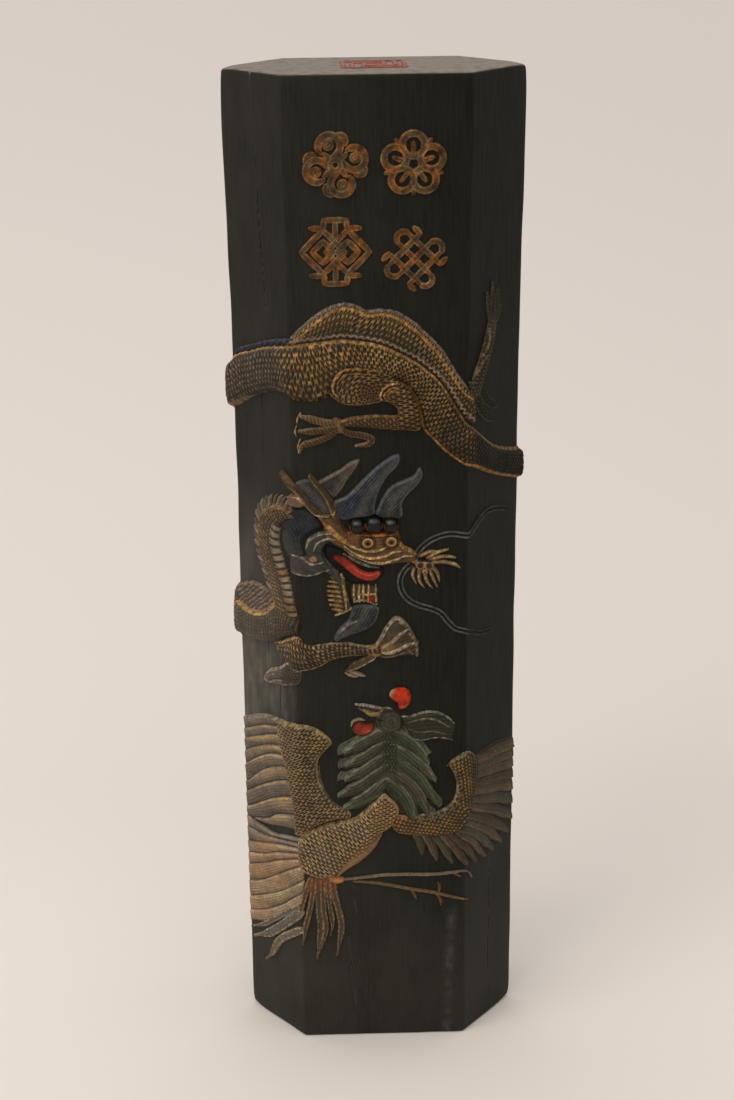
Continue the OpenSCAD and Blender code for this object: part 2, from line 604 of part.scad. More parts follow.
// Scaled coverts over the left corner and the long flight feathers on the side face
module phoenix_left_wing() {
    color("#8f7b5c") {
        band([[-31.4, 93, 100.2, 0.9], [-28.6, 86.4, 100.6, 1], [-26, 79, 100.9, 1.1],
            [-edge_f, 67.2, 101, 1.2], [-20.6, 69.2, 100.4, 1.2], [-18.2, 70, 99.4, 1.2],
            [-16.4, 70.8, 83, 1.1], [-13.8, 71.9, 77, 1], [-10.8, 72.4, 74.4, 0.8]]);
        band([[-18.2, 89, 99.4, 1.1], [-16.4, 92.6, 98.2, 1], [-14.4, 94.8, 96.2, 0.7]]);
        for (i = [0:8]) {
            t = i / 8;
            line([[-26 - 4 * (1 - t), 97.6 - 26 * t, 1.3], [-34, 95.2 - 26.6 * t, 1.7],
                [-42, 91.8 - 24 * t, 1.6], [-48.6, 88.4 - 21.6 * t + 3 * (1 - t), 1.1]], 0.85);
        }
    }
}

// Coverts curled over the right corner, the fringe below them and the spread flight feathers
module phoenix_right_wing() {
    color("#75634a") {
        band([[18.6, 86.4, 88, 0.7], [19.8, 83, 88.8, 0.9], [21.4, 66.4, 90, 1.1], [edge_f, 66.8, 91.2, 1.2],
            [26, 70, 91, 1.1], [29, 74, 88, 0.8]]);
        band([[8.6, 66.2, 71.4, 1], [12.6, 65.6, 72.6, 1], [16.6, 65.4, 73.4, 1], [20, 66, 78, 1.1],
            [21.4, 66.4, 84, 1.1]]);
        for (i = [0:5])
            claw([[9 + 2.5 * i, 66.4], [9.6 + 2.4 * i, 63], [10.6 + 2.3 * i, 59.8 - 0.3 * i]], 0.8,
                line_rise);
        for (i = [0:8]) {
            t = i / 8;
            line([[26.4, 88 - 19 * t, 1.1], [33, 85 - 20 * t, 1.5], [41, 82 - 20 * t, 1.5],
                [48.6, 80.6 - 19 * t, 0.9]], 0.8);
        }
    }
}

// Broad plumes of the tail, swept down over the left side face
module phoenix_tail_plumes() {
    color("#a58b6c") for (i = [0:6]) {
        t = i / 6;
        line([[-24.4, 63.4 - 24 * t, 1.5], [-31, 60.6 - 26.6 * t, 2.6], [-39, 57.6 - 29 * t, 2.8],
            [-48, 58.4 - 33 * t, 1.6]], 1 - 0.03 * i);
        if (i == 6) claw([[-30, 34], [-36, 27], [-41, 19.2]], 2.2, line_rise);
    }
}

// Narrow streaming feathers under the rump
module phoenix_tail_strands() {
    color("#8e7550") for (s = [[-21, -22.6, -22.8, -22.7, 36], [-19.4, -20.5, -21, -21.4, 34],
        [-17.6, -18.2, -16.8, -18.9, 27], [-15.8, -15.6, -15.2, -18, 29], [-14.2, -12.6, -12.2, -13.4, 27]])
        hair([[s[0], 52], [s[1], 46], [s[2], 38.6], [s[3], s[4]]], 0.7, line_rise);
}

module phoenix_legs() {
    color("#a08a68") {
        claw([[-11, 52.2], [-3.5, 52.9], [0.7, 53.4], [6.9, 53.4], [13.9, 53.2], [20.1, 53.8], [edge_f, 54.1],
            [25.4, 51.6]], 0.9, line_rise * 0.8);
        claw([[-7.6, 51.4], [-2.1, 50.8], [3.5, 49.4], [9, 48.4], [14.6, 47.6], [20.1, 45.7],
            [edge_f - 0.3, 45]], 0.8, line_rise * 0.8);
        claw([[8.3, 48], [9.7, 45.6]], 0.5, line_rise * 0.8);
        claw([[15.3, 47], [16.6, 43.6]], 0.5, line_rise * 0.8);
    }
}

ink_body();
top_seal();
cloud_ornament();
blossom_ornament();
lozenge_ornament();
knot_ornament();
dragon_trunk();
dragon_back_coil();
dragon_back_spines();
dragon_rear_body();
dragon_tail();
dragon_haunch();
dragon_hind_claw();
dragon_side_leg();
dragon_neck();
dragon_lower_coil();
dragon_foreleg();
dragon_fore_claw();
dragon_head();
dragon_horns();
dragon_brow_beads();
dragon_eyes();
dragon_tongue();
dragon_teeth();
dragon_jaw_frill();
dragon_mane();
dragon_beard();
dragon_whiskers();
dragon_nose_tuft();
phoenix_comb();
phoenix_wattle();
phoenix_head();
phoenix_crest();
phoenix_hackle();
phoenix_body();
phoenix_left_wing();
phoenix_right_wing();
phoenix_tail_plumes();
phoenix_tail_strands();
phoenix_legs();
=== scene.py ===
import math

import bpy
import numpy as np
from mathutils import Matrix, Vector


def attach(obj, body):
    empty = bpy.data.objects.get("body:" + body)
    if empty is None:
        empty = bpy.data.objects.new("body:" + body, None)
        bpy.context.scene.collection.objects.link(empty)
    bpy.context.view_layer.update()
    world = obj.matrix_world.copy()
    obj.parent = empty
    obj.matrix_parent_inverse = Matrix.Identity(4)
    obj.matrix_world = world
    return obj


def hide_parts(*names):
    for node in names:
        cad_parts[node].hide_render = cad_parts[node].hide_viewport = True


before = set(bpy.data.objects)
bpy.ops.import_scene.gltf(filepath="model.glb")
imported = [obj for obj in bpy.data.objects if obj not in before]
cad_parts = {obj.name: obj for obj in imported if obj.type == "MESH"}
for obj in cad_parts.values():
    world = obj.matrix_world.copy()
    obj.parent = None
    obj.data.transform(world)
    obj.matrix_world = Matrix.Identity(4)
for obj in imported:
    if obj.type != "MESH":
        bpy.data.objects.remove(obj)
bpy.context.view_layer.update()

# All drawing is in millimetres: g runs round the girth from the middle of the front face, z runs up
# and h stands out of the face. skin() turns that into the row frame, with the edges rounded.
MM = 0.001
HEIGHT = 280.0
GIRTH = 196.4
CORNERS = [(-74.7, -23.5, 20.0), (-49.1, -39.5, 0.0), (-23.5, -23.5, -20.0), (23.5, 23.5, -20.0),
           (49.1, 39.5, 0.0), (74.7, 23.5, 20.0), (121.7, -23.5, 20.0)]
EDGE_ROUND = (1.3, 1.7, 1.3, 1.3, 1.7, 1.3, 1.3)
# A relief is kept where it stands above SUNK, and its hidden back lies at FOOT, inside the block.
SUNK = -0.35
FOOT = -0.7
FALL = 1.4    # how far a relief drops for each millimetre beyond its outline


# ---------------------------------------------------------------- camera, floor and lights

def make_camera():
    size = HEIGHT * MM
    pitch, roll, yaw = 0.34023, 0.010357, 0.029624
    offset = (0.010846, -0.019239, 2.060552)
    right = Vector((1, 0, 0))
    up = Vector((0, math.sin(pitch), math.cos(pitch)))
    ahead = Vector((0, math.cos(pitch), -math.sin(pitch)))
    turn = Matrix.Rotation(-yaw, 3, "Z")
    place = turn @ (-(right * offset[0] + up * offset[1] + ahead * offset[2])) + Vector((0, 0, 0.5))
    side = turn @ (right * math.cos(roll) - up * math.sin(roll))
    top = turn @ (right * math.sin(roll) + up * math.cos(roll))
    back = -(turn @ ahead)
    data = bpy.data.cameras.new("camera")
    data.sensor_width = 36.0
    data.lens = 66.54
    camera = bpy.data.objects.new("camera", data)
    bpy.context.scene.collection.objects.link(camera)
    camera.matrix_world = Matrix(((side[0], top[0], back[0], place[0] * size),
                                  (side[1], top[1], back[1], place[1] * size),
                                  (side[2], top[2], back[2], place[2] * size),
                                  (0, 0, 0, 1)))
    bpy.context.scene.camera = camera


def lin(r, g, b):
    """sRGB 0-255 to linear."""
    out = []
    for v in (r, g, b):
        v = v / 255
        out.append(v / 12.92 if v <= 0.04045 else ((v + 0.055) / 1.055) ** 2.4)
    return tuple(out)


def area_light(name, place, aim, size, power, colour):
    data = bpy.data.lights.new(name, "AREA")
    data.shape = "RECTANGLE"
    data.size, data.size_y = size
    data.energy = power
    data.color = colour
    lamp = bpy.data.objects.new(name, data)
    bpy.context.scene.collection.objects.link(lamp)
    lamp.location = place
    lamp.rotation_euler = (Vector(aim) - Vector(place)).to_track_quat("-Z", "Y").to_euler()


def make_stage():
    scene = bpy.context.scene
    scene.view_settings.view_transform = "Standard"
    world = bpy.data.worlds.new("studio")
    scene.world = world
    world.use_nodes = True
    tree = world.node_tree
    tree.nodes.clear()
    out = tree.nodes.new("ShaderNodeOutputWorld")
    sky = tree.nodes.new("ShaderNodeBackground")
    where = tree.nodes.new("ShaderNodeTexCoord")
    split = tree.nodes.new("ShaderNodeSeparateXYZ")
    tree.links.new(where.outputs["Generated"], split.inputs[0])
    high = tree.nodes.new("ShaderNodeMapRange")
    high.interpolation_type = "SMOOTHSTEP"
    for key, value in (("From Min", 0.1), ("From Max", 0.8), ("To Min", 0.53), ("To Max", 1.0)):
        high.inputs[key].default_value = value
    tree.links.new(split.outputs["Z"], high.inputs["Value"])
    sky.inputs["Color"].default_value = (1.0, 0.98, 0.955, 1)
    tree.links.new(high.outputs["Result"], sky.inputs["Strength"])
    tree.links.new(sky.outputs[0], out.inputs[0])

    half = 9.0
    mesh = bpy.data.meshes.new("floor")
    mesh.from_pydata([(-half, -half, 0), (half, -half, 0), (half, half, 0), (-half, half, 0)], [],
                     [(0, 1, 2, 3)])
    floor = bpy.data.objects.new("floor", mesh)
    scene.collection.objects.link(floor)
    mat = bpy.data.materials.new("pale_paper")
    mat.use_nodes = True
    tree = mat.node_tree
    shader = tree.nodes["Principled BSDF"]
    shader.inputs["Roughness"].default_value = 0.85
    shader.inputs["Specular IOR Level"].default_value = 0.2
    where = tree.nodes.new("ShaderNodeTexCoord")
    split = tree.nodes.new("ShaderNodeSeparateXYZ")
    tree.links.new(where.outputs["Object"], split.inputs[0])
    # Painted shade: the floor's colour darkens towards the back, where the light falls off.
    far = tree.nodes.new("ShaderNodeMapRange")
    far.interpolation_type = "SMOOTHSTEP"
    far.inputs["From Min"].default_value = 0.03
    far.inputs["From Max"].default_value = 0.16
    tree.links.new(split.outputs["Y"], far.inputs["Value"])
    tone = tree.nodes.new("ShaderNodeMix")
    tone.data_type = "RGBA"
    tone.inputs["A"].default_value = (0.81, 0.745, 0.69, 1)
    tone.inputs["B"].default_value = (0.77, 0.705, 0.655, 1)
    tree.links.new(far.outputs["Result"], tone.inputs["Factor"])
    # Painted shade: the floor darkens towards the right, away from the key light.
    ahead = wire(tree, "ShaderNodeMath", {0: split.outputs["Y"], 1: 1.2}, operation="ADD")
    aside = wire(tree, "ShaderNodeMath", {0: split.outputs["X"], 1: ahead.outputs[0]}, operation="DIVIDE")
    shade = ranged(tree, aside.outputs[0], -0.3, 0.3, 1.0, 0.92)
    final = wire(tree, "ShaderNodeVectorMath", {0: tone.outputs["Result"]}, operation="SCALE")
    tree.links.new(shade, final.inputs["Scale"])
    tree.links.new(final.outputs[0], shader.inputs["Base Color"])
    mesh.materials.append(mat)

    area_light("key", (-0.9, -0.75, 1.5), (0, 0, 0.1), (0.9, 0.9), 8.0, (1.0, 0.96, 0.9))


# ---------------------------------------------------------------- the rounded skin of the block

def wrap(g):
    return (np.asarray(g, float) + 74.7) % GIRTH - 74.7


def skin(g):
    """x, y and the outward direction of the block's side at g."""
    g = wrap(g)
    x, y = np.zeros(g.shape), np.zeros(g.shape)
    nx, ny = np.zeros(g.shape), np.zeros(g.shape)
    knots = CORNERS
    count = len(knots) - 1
    normals = []
    for k in range(count):
        (ga, xa, ya), (gb, xb, yb) = knots[k], knots[k + 1]
        length = math.hypot(xb - xa, yb - ya)
        out = ((yb - ya) / length, -(xb - xa) / length)
        normals.append(out)
        on = (g >= ga) & (g <= gb)
        t = (g - ga) / (gb - ga)
        x = np.where(on, xa + t * (xb - xa), x)
        y = np.where(on, ya + t * (yb - ya), y)
        nx = np.where(on, out[0], nx)
        ny = np.where(on, out[1], ny)
    for k in range(count):
        gc, xc, yc = knots[k]
        before, after = normals[k - 1], normals[k]
        a0 = math.atan2(before[1], before[0])
        turn = math.acos(max(-1, min(1, before[0] * after[0] + before[1] * after[1])))
        r = EDGE_ROUND[k]
        reach = r * math.tan(turn / 2)
        mid = (before[0] + after[0], before[1] + after[1])
        scale = r / (math.cos(turn / 2) * math.hypot(*mid))
        cx, cy = xc - mid[0] * scale, yc - mid[1] * scale
        d = (g - gc + GIRTH / 2) % GIRTH - GIRTH / 2
        on = np.abs(d) < reach
        a = a0 + turn * (d + reach) / (2 * reach)
        ux, uy = np.cos(a), np.sin(a)
        x = np.where(on, cx + r * ux, x)
        y = np.where(on, cy + r * uy, y)
        nx = np.where(on, ux, nx)
        ny = np.where(on, uy, ny)
    return x, y, nx, ny


def bend(g, lift=1.8):
    """Extra length that a raised shape gains by passing round the block's edges."""
    out = np.zeros(np.shape(g))
    for (c, turn, r) in ((-49.1, 1.35, 1.7), (-23.5, 0.896, 1.3), (23.5, 0.896, 1.3), (49.1, 1.35, 1.7)):
        reach = r * math.tan(turn / 2)
        out = out + lift * turn * np.clip((g - c + reach) / (2 * reach), 0, 1)
    return out


def girth_steps(g0, g1, step):
    """Places round the girth, closer together where the skin turns an edge."""
    out = [g0]
    centres = [c[0] + k * GIRTH for c in CORNERS for k in (-1, 0, 1)]
    while out[-1] < g1:
        near = min(abs(out[-1] + step * 0.25 - c) for c in centres)
        out.append(out[-1] + (step * 0.5 if near < 1.3 else step))
    return np.array(out)


# ---------------------------------------------------------------- curves and distances

def curve(points, closed=False, step=0.5):
    """A smooth curve through the points; further columns, such as half widths, ride along."""
    p = np.array(points, float)
    if closed:
        p = np.vstack([p[-1], p, p[0], p[1]])
    else:
        p = np.vstack([2 * p[0] - p[1], p, 2 * p[-1] - p[-2]])
    out = []
    for i in range(1, len(p) - 2):
        a, b, c, d = p[i - 1], p[i], p[i + 1], p[i + 2]
        n = max(2, int(np.hypot(*(c - b)[:2]) / step) + 1)
        t = np.linspace(0, 1, n, endpoint=False)[:, None]
        out.append(0.5 * (2 * b + (c - a) * t + (2 * a - 5 * b + 4 * c - d) * t ** 2
                          + (3 * b - a - 3 * c + d) * t ** 3))
    if not closed:
        out.append(p[-2:-1])
    return np.vstack(out)


def track(G, Z, path, reach=3.0):
    """Distance to a path, side (+ on its left), place along it in mm, and its further column."""
    dist = np.full(G.shape, reach + 1.0)
    side = np.ones(G.shape)
    along = np.zeros(G.shape)
    extra = np.zeros(G.shape)
    p = np.asarray(path, float)
    near = ((G > p[:, 0].min() - reach) & (G < p[:, 0].max() + reach)
            & (Z > p[:, 1].min() - reach) & (Z < p[:, 1].max() + reach))
    idx = np.flatnonzero(near)
    if not len(idx):
        return dist, side, along, extra
    a, b = p[:-1, :2], p[1:, :2]
    ab = b - a
    ll = np.maximum((ab ** 2).sum(1), 1e-9)
    length = np.sqrt(ll)
    start = np.concatenate([[0], np.cumsum(length)[:-1]])
    gq, zq = G.flat[idx], Z.flat[idx]
    for lo in range(0, len(idx), 12000):
        part = slice(lo, lo + 12000)
        dg = gq[part, None] - a[None, :, 0]
        dz = zq[part, None] - a[None, :, 1]
        t = np.clip((dg * ab[:, 0] + dz * ab[:, 1]) / ll, 0, 1)
        d2 = (dg - t * ab[:, 0]) ** 2 + (dz - t * ab[:, 1]) ** 2
        k = d2.argmin(1)
        rows = np.arange(len(k))
        tk = t[rows, k]
        where = idx[part]
        dist.flat[where] = np.sqrt(d2[rows, k])
        cross = ab[k, 0] * dz[rows, k] - ab[k, 1] * dg[rows, k]
        side.flat[where] = np.where(cross >= 0, 1.0, -1.0)
        along.flat[where] = start[k] + tk * length[k]
        if p.shape[1] > 2:
            extra.flat[where] = p[k, 2] * (1 - tk) + p[k + 1, 2] * tk
    return dist, side, along, extra


def inside(G, Z, outline, reach=3.0):
    """Signed distance to a closed outline, positive inside."""
    p = np.asarray(outline, float)[:, :2]
    ring = np.vstack([p, p[:1]])
    dist = np.full(G.shape, -reach - 1.0)
    near = ((G > p[:, 0].min() - reach) & (G < p[:, 0].max() + reach)
            & (Z > p[:, 1].min() - reach) & (Z < p[:, 1].max() + reach))
    idx = np.flatnonzero(near)
    a, b = ring[:-1], ring[1:]
    ab = b - a
    ll = np.maximum((ab ** 2).sum(1), 1e-9)
    gq, zq = G.flat[idx], Z.flat[idx]
    for lo in range(0, len(idx), 12000):
        part = slice(lo, lo + 12000)
        dg = gq[part, None] - a[None, :, 0]
        dz = zq[part, None] - a[None, :, 1]
        t = np.clip((dg * ab[:, 0] + dz * ab[:, 1]) / ll, 0, 1)
        d = np.sqrt(((dg - t * ab[:, 0]) ** 2 + (dz - t * ab[:, 1]) ** 2).min(1))
        above = a[None, :, 1] > zq[part, None]
        other = b[None, :, 1] > zq[part, None]
        cut = a[None, :, 0] + (zq[part, None] - a[None, :, 1]) * ab[:, 0] / np.where(
            np.abs(ab[:, 1]) < 1e-9, 1e-9, ab[:, 1])
        hits = ((above != other) & (gq[part, None] < cut)).sum(1)
        dist.flat[idx[part]] = np.where(hits % 2 == 1, d, -d)
    return dist


def smooth(x):
    x = np.clip(x, 0, 1)
    return x * x * (3 - 2 * x)


def bell(x, width):
    """1 where x is 0, falling softly to nothing over about twice the width."""
    return np.exp(-(x / width) ** 2)


def fuzz(a, b, size, seed=0.0):
    """A soft uneven pattern between about -1 and 1."""
    out = 0.0
    for k in range(5):
        t = seed * 1.7 + k * 2.399
        wave = 2 * math.pi / (size * (0.7 + 0.31 * k))
        out = out + np.sin((a * math.cos(t) + b * math.sin(t)) * wave + seed * (k + 1) + 1.3 * k * k)
    return out / 3.2


def drops(u, v, pu, pv, wide=0.3, soft=0.1):
    """A net of raised lines round staggered lens-shaped pits, long in v: 1 on the net, 0 in a pit."""
    out = np.ones(np.shape(u))
    for k in (0, 1):
        fv = (v / pv + k) % 2 - 1
        fu = (u / pu + k / 2) % 1 - 0.5
        half = 0.72 * wide
        away = np.sqrt((fu / half) ** 2 + (fv / 0.72) ** 2) - 1
        out = np.minimum(out, smooth(away * half / soft + 0.2))
    return out


def stripes(x, pitch, sharp=1.0):
    """Rounded ridges across x: 1 on a ridge, 0 in the groove between."""
    return (0.5 + 0.5 * np.cos(2 * math.pi * x / pitch)) ** sharp


# ---------------------------------------------------------------- paints

GOLD = lin(196, 152, 92)
PALE_GOLD = lin(214, 178, 122)
OCHRE = lin(160, 116, 60)
BROWN = lin(96, 70, 44)
PINK_TAN = lin(168, 140, 124)
RED = lin(198, 54, 28)
DARK_RED = lin(150, 36, 20)
BLACK = lin(20, 18, 17)


def mix(a, b, t):
    t = np.asarray(t)[..., None]
    return np.asarray(a) * (1 - t) + np.asarray(b) * t


class Sheet:
    """A height field on the skin: h, its paint and how much of the paint is left."""

    def __init__(self, g0, g1, z0, z1, step=0.25):
        self.gs = girth_steps(g0, g1, step)
        self.zs = np.arange(z0, z1 + step, step)
        self.G, self.Z = np.meshgrid(self.gs, self.zs, indexing="ij")
        self.h = np.full(self.G.shape, -9.0)
        self.rgb = np.zeros(self.G.shape + (3,))
        self.cover = np.zeros(self.G.shape)

    def lay(self, h, rgb, cover=1.0, where=None):
        """Puts a surface down wherever it stands above what is there."""
        top = h > self.h
        if where is not None:
            top &= where
        self.h[top] = h[top]
        self.rgb[top] = np.broadcast_to(rgb, self.rgb.shape)[top]
        self.cover[top] = np.broadcast_to(cover, self.h.shape)[top]

    def tint(self, rgb, amount, cover=None):
        """Paints over what is there without moving it."""
        amount = np.clip(amount, 0, 1)
        self.rgb = mix(self.rgb, rgb, amount) if np.ndim(rgb) == 1 else (
            self.rgb * (1 - amount[..., None]) + rgb * amount[..., None])
        target = 1.0 if cover is None else cover
        self.cover = self.cover * (1 - amount) + target * amount


def width_path(points, half, taper=(0.35, 0.35)):
    """A smooth path whose half width swells in the middle."""
    p = np.array(points, float)
    path = curve(p)
    n = len(path) - 1
    t = np.linspace(0, 1, n + 1)
    if path.shape[1] > 2:
        return path
    grow = smooth(t / 0.3) * (1 - taper[0]) + taper[0]
    fall = smooth((1 - t) / 0.3) * (1 - taper[1]) + taper[1]
    return np.column_stack([path, half * np.minimum(grow, fall)])


def stroke(s, points, half, rise, rgb, cover=1.0, taper=(0.35, 0.35), on=False):
    """A raised line. on=True lays it on what the sheet already holds."""
    path = width_path(points, half, taper)
    reach = float(path[:, 2].max()) + 0.8
    d, side, along, w = track(s.G, s.Z, path, reach)
    w = np.maximum(w, 0.05)
    x = d / w
    body = np.where(x < 1, np.maximum(1 - x * x, 0) ** 0.5, 0)
    base = np.maximum(s.h, 0) if on else 0
    h = np.where(x < 1, base + rise * body, -(d - w) * FALL)
    s.lay(h, rgb, cover, where=(d <= reach) & ((x < 1) | (not on)))
    return d, side, along, w


def line(s, points, half, rgb, rise=0.22, cover=1.0, taper=(0.5, 0.5)):
    """A thin worn line painted on what the sheet holds."""
    rub = fuzz(s.G, s.Z, 1.3, 9.0)
    tone = np.asarray(rgb)[None, None, :] * (0.82 + 0.26 * rub + 0.12 * fuzz(s.G, s.Z, 5, 9.5))[..., None]
    stroke(s, points, half * 0.86, rise, np.clip(tone, 0, 1), np.clip(cover * (0.82 + 0.3 * rub), 0, 1),
           taper, on=True)


def build(s, name, slot, nodes, place=None):
    """Turns a sheet into one closed piece that rides on the block."""
    h = s.h
    uneven = 1 + 0.16 * fuzz(s.G, s.Z, 0.9, 50.0) + 0.12 * fuzz(s.G, s.Z, 3.4, 51.0)
    s.rgb = np.clip(s.rgb * uneven[..., None], 0, 1)
    h = h + 0.035 * fuzz(s.G, s.Z, 1.1, 52.0) * (h > 0.1)
    keep = np.maximum.reduce([h[:-1, :-1], h[1:, :-1], h[1:, 1:], h[:-1, 1:]]) > SUNK
    for _ in range(6):
        a, b = keep[:-1, :-1], keep[1:, 1:]
        c, d = keep[1:, :-1], keep[:-1, 1:]
        bad = (a & b & ~c & ~d) | (c & d & ~a & ~b)
        if not bad.any():
            break
        keep[:-1, :-1] |= bad
        keep[1:, :-1] |= bad
        keep[:-1, 1:] |= bad
        keep[1:, 1:] |= bad
    nz = h.shape[1]
    ci, cj = np.nonzero(keep)
    corner = np.stack([ci * nz + cj, (ci + 1) * nz + cj, (ci + 1) * nz + cj + 1, ci * nz + cj + 1], 1)
    used = np.unique(corner)
    number = np.full(h.size, -1)
    number[used] = np.arange(len(used))
    top = number[corner]
    n = len(used)
    g, z = s.G.flat[used], s.Z.flat[used]
    up = np.maximum(h.flat[used], SUNK)
    put = place or on_side
    verts = np.vstack([put(g, z, up), put(g, z, np.full(n, FOOT))])
    padded = np.zeros((keep.shape[0] + 2, keep.shape[1] + 2), bool)
    padded[1:-1, 1:-1] = keep
    walls = []
    for di, dj, e in ((0, -1, (0, 1)), (1, 0, (1, 2)), (0, 1, (2, 3)), (-1, 0, (3, 0))):
        open_side = ~padded[1 + ci + di, 1 + cj + dj]
        p, q = top[open_side][:, e[0]], top[open_side][:, e[1]]
        walls.append(np.stack([q, p, p + n, q + n], 1))
    faces = np.vstack([top, top[:, ::-1] + n] + walls)
    mesh = bpy.data.meshes.new(name)
    mesh.vertices.add(len(verts))
    mesh.vertices.foreach_set("co", (verts * MM).astype(np.float32).ravel())
    mesh.loops.add(faces.size)
    mesh.loops.foreach_set("vertex_index", faces.ravel().astype(np.int32))
    mesh.polygons.add(len(faces))
    mesh.polygons.foreach_set("loop_start", np.arange(0, faces.size, 4, dtype=np.int32))
    mesh.polygons.foreach_set("loop_total", np.full(len(faces), 4, dtype=np.int32))
    mesh.polygons.foreach_set("use_smooth", np.ones(len(faces), bool))
    mesh.update(calc_edges=True)
    paint = np.ones((len(verts), 4), np.float32)
    colour = s.rgb.reshape(-1, 3)[used]
    cover = np.clip(s.cover.flat[used], 0, 1)
    paint[:n, :3], paint[n:, :3] = colour, colour
    paint[:n, 3], paint[n:, 3] = cover, cover
    layer = mesh.attributes.new("paint", "FLOAT_COLOR", "POINT")
    layer.data.foreach_set("color", paint.ravel())
    piece = bpy.data.objects.new(name, mesh)
    bpy.context.scene.collection.objects.link(piece)
    mesh.materials.append(MATERIALS[slot])
    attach(piece, "root")
    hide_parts(*nodes)
    print(name, len(faces) * 2, "triangles")


def on_side(g, z, h):
    x, y, nx, ny = skin(g)
    return np.column_stack([x + nx * h, y + ny * h, z])


def on_top(x, y, h):
    return np.column_stack([x, y, HEIGHT + h])


# ---------------------------------------------------------------- materials

def wire(tree, kind, inputs=None, **settings):
    """A node with its settings, and its inputs given as values or as sockets to link."""
    node = tree.nodes.new(kind)
    for key, value in settings.items():
        setattr(node, key, value)
    for key, value in (inputs or {}).items():
        if isinstance(value, bpy.types.NodeSocket):
            tree.links.new(value, node.inputs[key])
        else:
            node.inputs[key].default_value = value
    return node


def noise(tree, where, scale, stretch=(1, 1, 1), detail=3.0, rough=0.55):
    """Noise whose scale is in cycles per millimetre."""
    k = scale / MM
    moved = wire(tree, "ShaderNodeMapping", {"Vector": where,
                                             "Scale": tuple(k * v for v in stretch)})
    return wire(tree, "ShaderNodeTexNoise", {"Vector": moved.outputs[0], "Scale": 1.0, "Detail": detail,
                                             "Roughness": rough}).outputs["Fac"]


def ranged(tree, value, low, high, to_low=0.0, to_high=1.0):
    node = wire(tree, "ShaderNodeMapRange", {"Value": value, "From Min": low, "From Max": high,
                                             "To Min": to_low, "To Max": to_high})
    node.interpolation_type = "SMOOTHSTEP"
    return node.outputs["Result"]


def blend(tree, a, b, fac):
    node = wire(tree, "ShaderNodeMix", {"Factor": fac}, data_type="RGBA")
    for key, value in (("A", a), ("B", b)):
        if isinstance(value, bpy.types.NodeSocket):
            tree.links.new(value, node.inputs[key])
        else:
            node.inputs[key].default_value = tuple(value) + (1,)
    return node.outputs["Result"]


def maths(tree, how, a, b=0.0):
    node = tree.nodes.new("ShaderNodeMath")
    node.operation = how
    for k, value in enumerate((a, b)):
        if isinstance(value, bpy.types.NodeSocket):
            tree.links.new(value, node.inputs[k])
        else:
            node.inputs[k].default_value = value
    return node.outputs[0]


def ink_colour(tree, where):
    """Pressed ink: near-black brown, upright grain and mottling, lighter towards the bottom, with painted
    light: lighter towards the left, a painted sheen on the left face and a painted reflection on the top.
    """
    grain = noise(tree, where, 1.5, (1, 1, 0.07), 4.0, 0.6)
    mottle = noise(tree, where, 0.055, (1, 1, 0.6), 5.0, 0.6)
    speck = noise(tree, where, 2.6, (1, 1, 1), 2.0, 0.5)
    colour = blend(tree, lin(8, 8, 5), lin(25, 25, 16), ranged(tree, grain, 0.28, 0.72))
    colour = blend(tree, colour, lin(25, 26, 19),
                   maths(tree, "MULTIPLY", ranged(tree, mottle, 0.35, 0.7), 0.55))
    colour = blend(tree, colour, lin(66, 62, 54),
                   maths(tree, "MULTIPLY", ranged(tree, speck, 0.68, 0.8), 0.35))
    split = wire(tree, "ShaderNodeSeparateXYZ", {"Vector": where})
    # Lighter towards the bottom, and lighter towards the left as painted light on the side the key light
    # falls on.
    low = ranged(tree, split.outputs["Z"], 0.10, 0.0)
    left = ranged(tree, split.outputs["X"], 0.03, -0.04)
    lighter_low_and_left = maths(tree, "MULTIPLY", maths(tree, "ADD", maths(tree, "MULTIPLY", low, 0.10),
                                          maths(tree, "MULTIPLY", left, 0.10)),
                  ranged(tree, mottle, 0.2, 0.75, 0.55, 1.2))
    colour = blend(tree, colour, lin(104, 98, 88), lighter_low_and_left)
    # Painted sheen: a pale haze on the left face, part way up, standing in for a reflection on the glossy
    # ink.
    up = maths(tree, "MULTIPLY", ranged(tree, split.outputs["Z"], 0.172, 0.135),
               ranged(tree, split.outputs["Z"], 0.06, 0.10))
    sheen_haze = maths(tree, "MULTIPLY", up, ranged(tree, split.outputs["X"], -0.022, -0.034))
    sheen_haze = maths(tree, "MULTIPLY", sheen_haze, ranged(tree, noise(tree, where, 0.11, (1, 1, 0.35), 4.0), 0.3, 0.65,
                                                0.15, 0.42))
    front_side = ranged(tree, split.outputs["Y"], 0.002, -0.002)
    sheen_haze = maths(tree, "MULTIPLY", sheen_haze, front_side)
    colour = blend(tree, colour, lin(120, 114, 104), sheen_haze)
    # Painted reflection: the upward faces at the top are lighter, for the sheen of the top face.
    face = wire(tree, "ShaderNodeNewGeometry")
    normal = wire(tree, "ShaderNodeSeparateXYZ", {"Vector": face.outputs["Normal"]})
    lid = maths(tree, "MULTIPLY", ranged(tree, normal.outputs["Z"], 0.55, 0.95),
                ranged(tree, split.outputs["Z"], 0.277, 0.279))
    lid = maths(tree, "MULTIPLY", lid, ranged(tree, noise(tree, where, 0.35, (1, 1, 1), 4.0), 0.2, 0.7, 0.45,
                                              0.9))
    return blend(tree, colour, lin(140, 128, 116), lid), grain


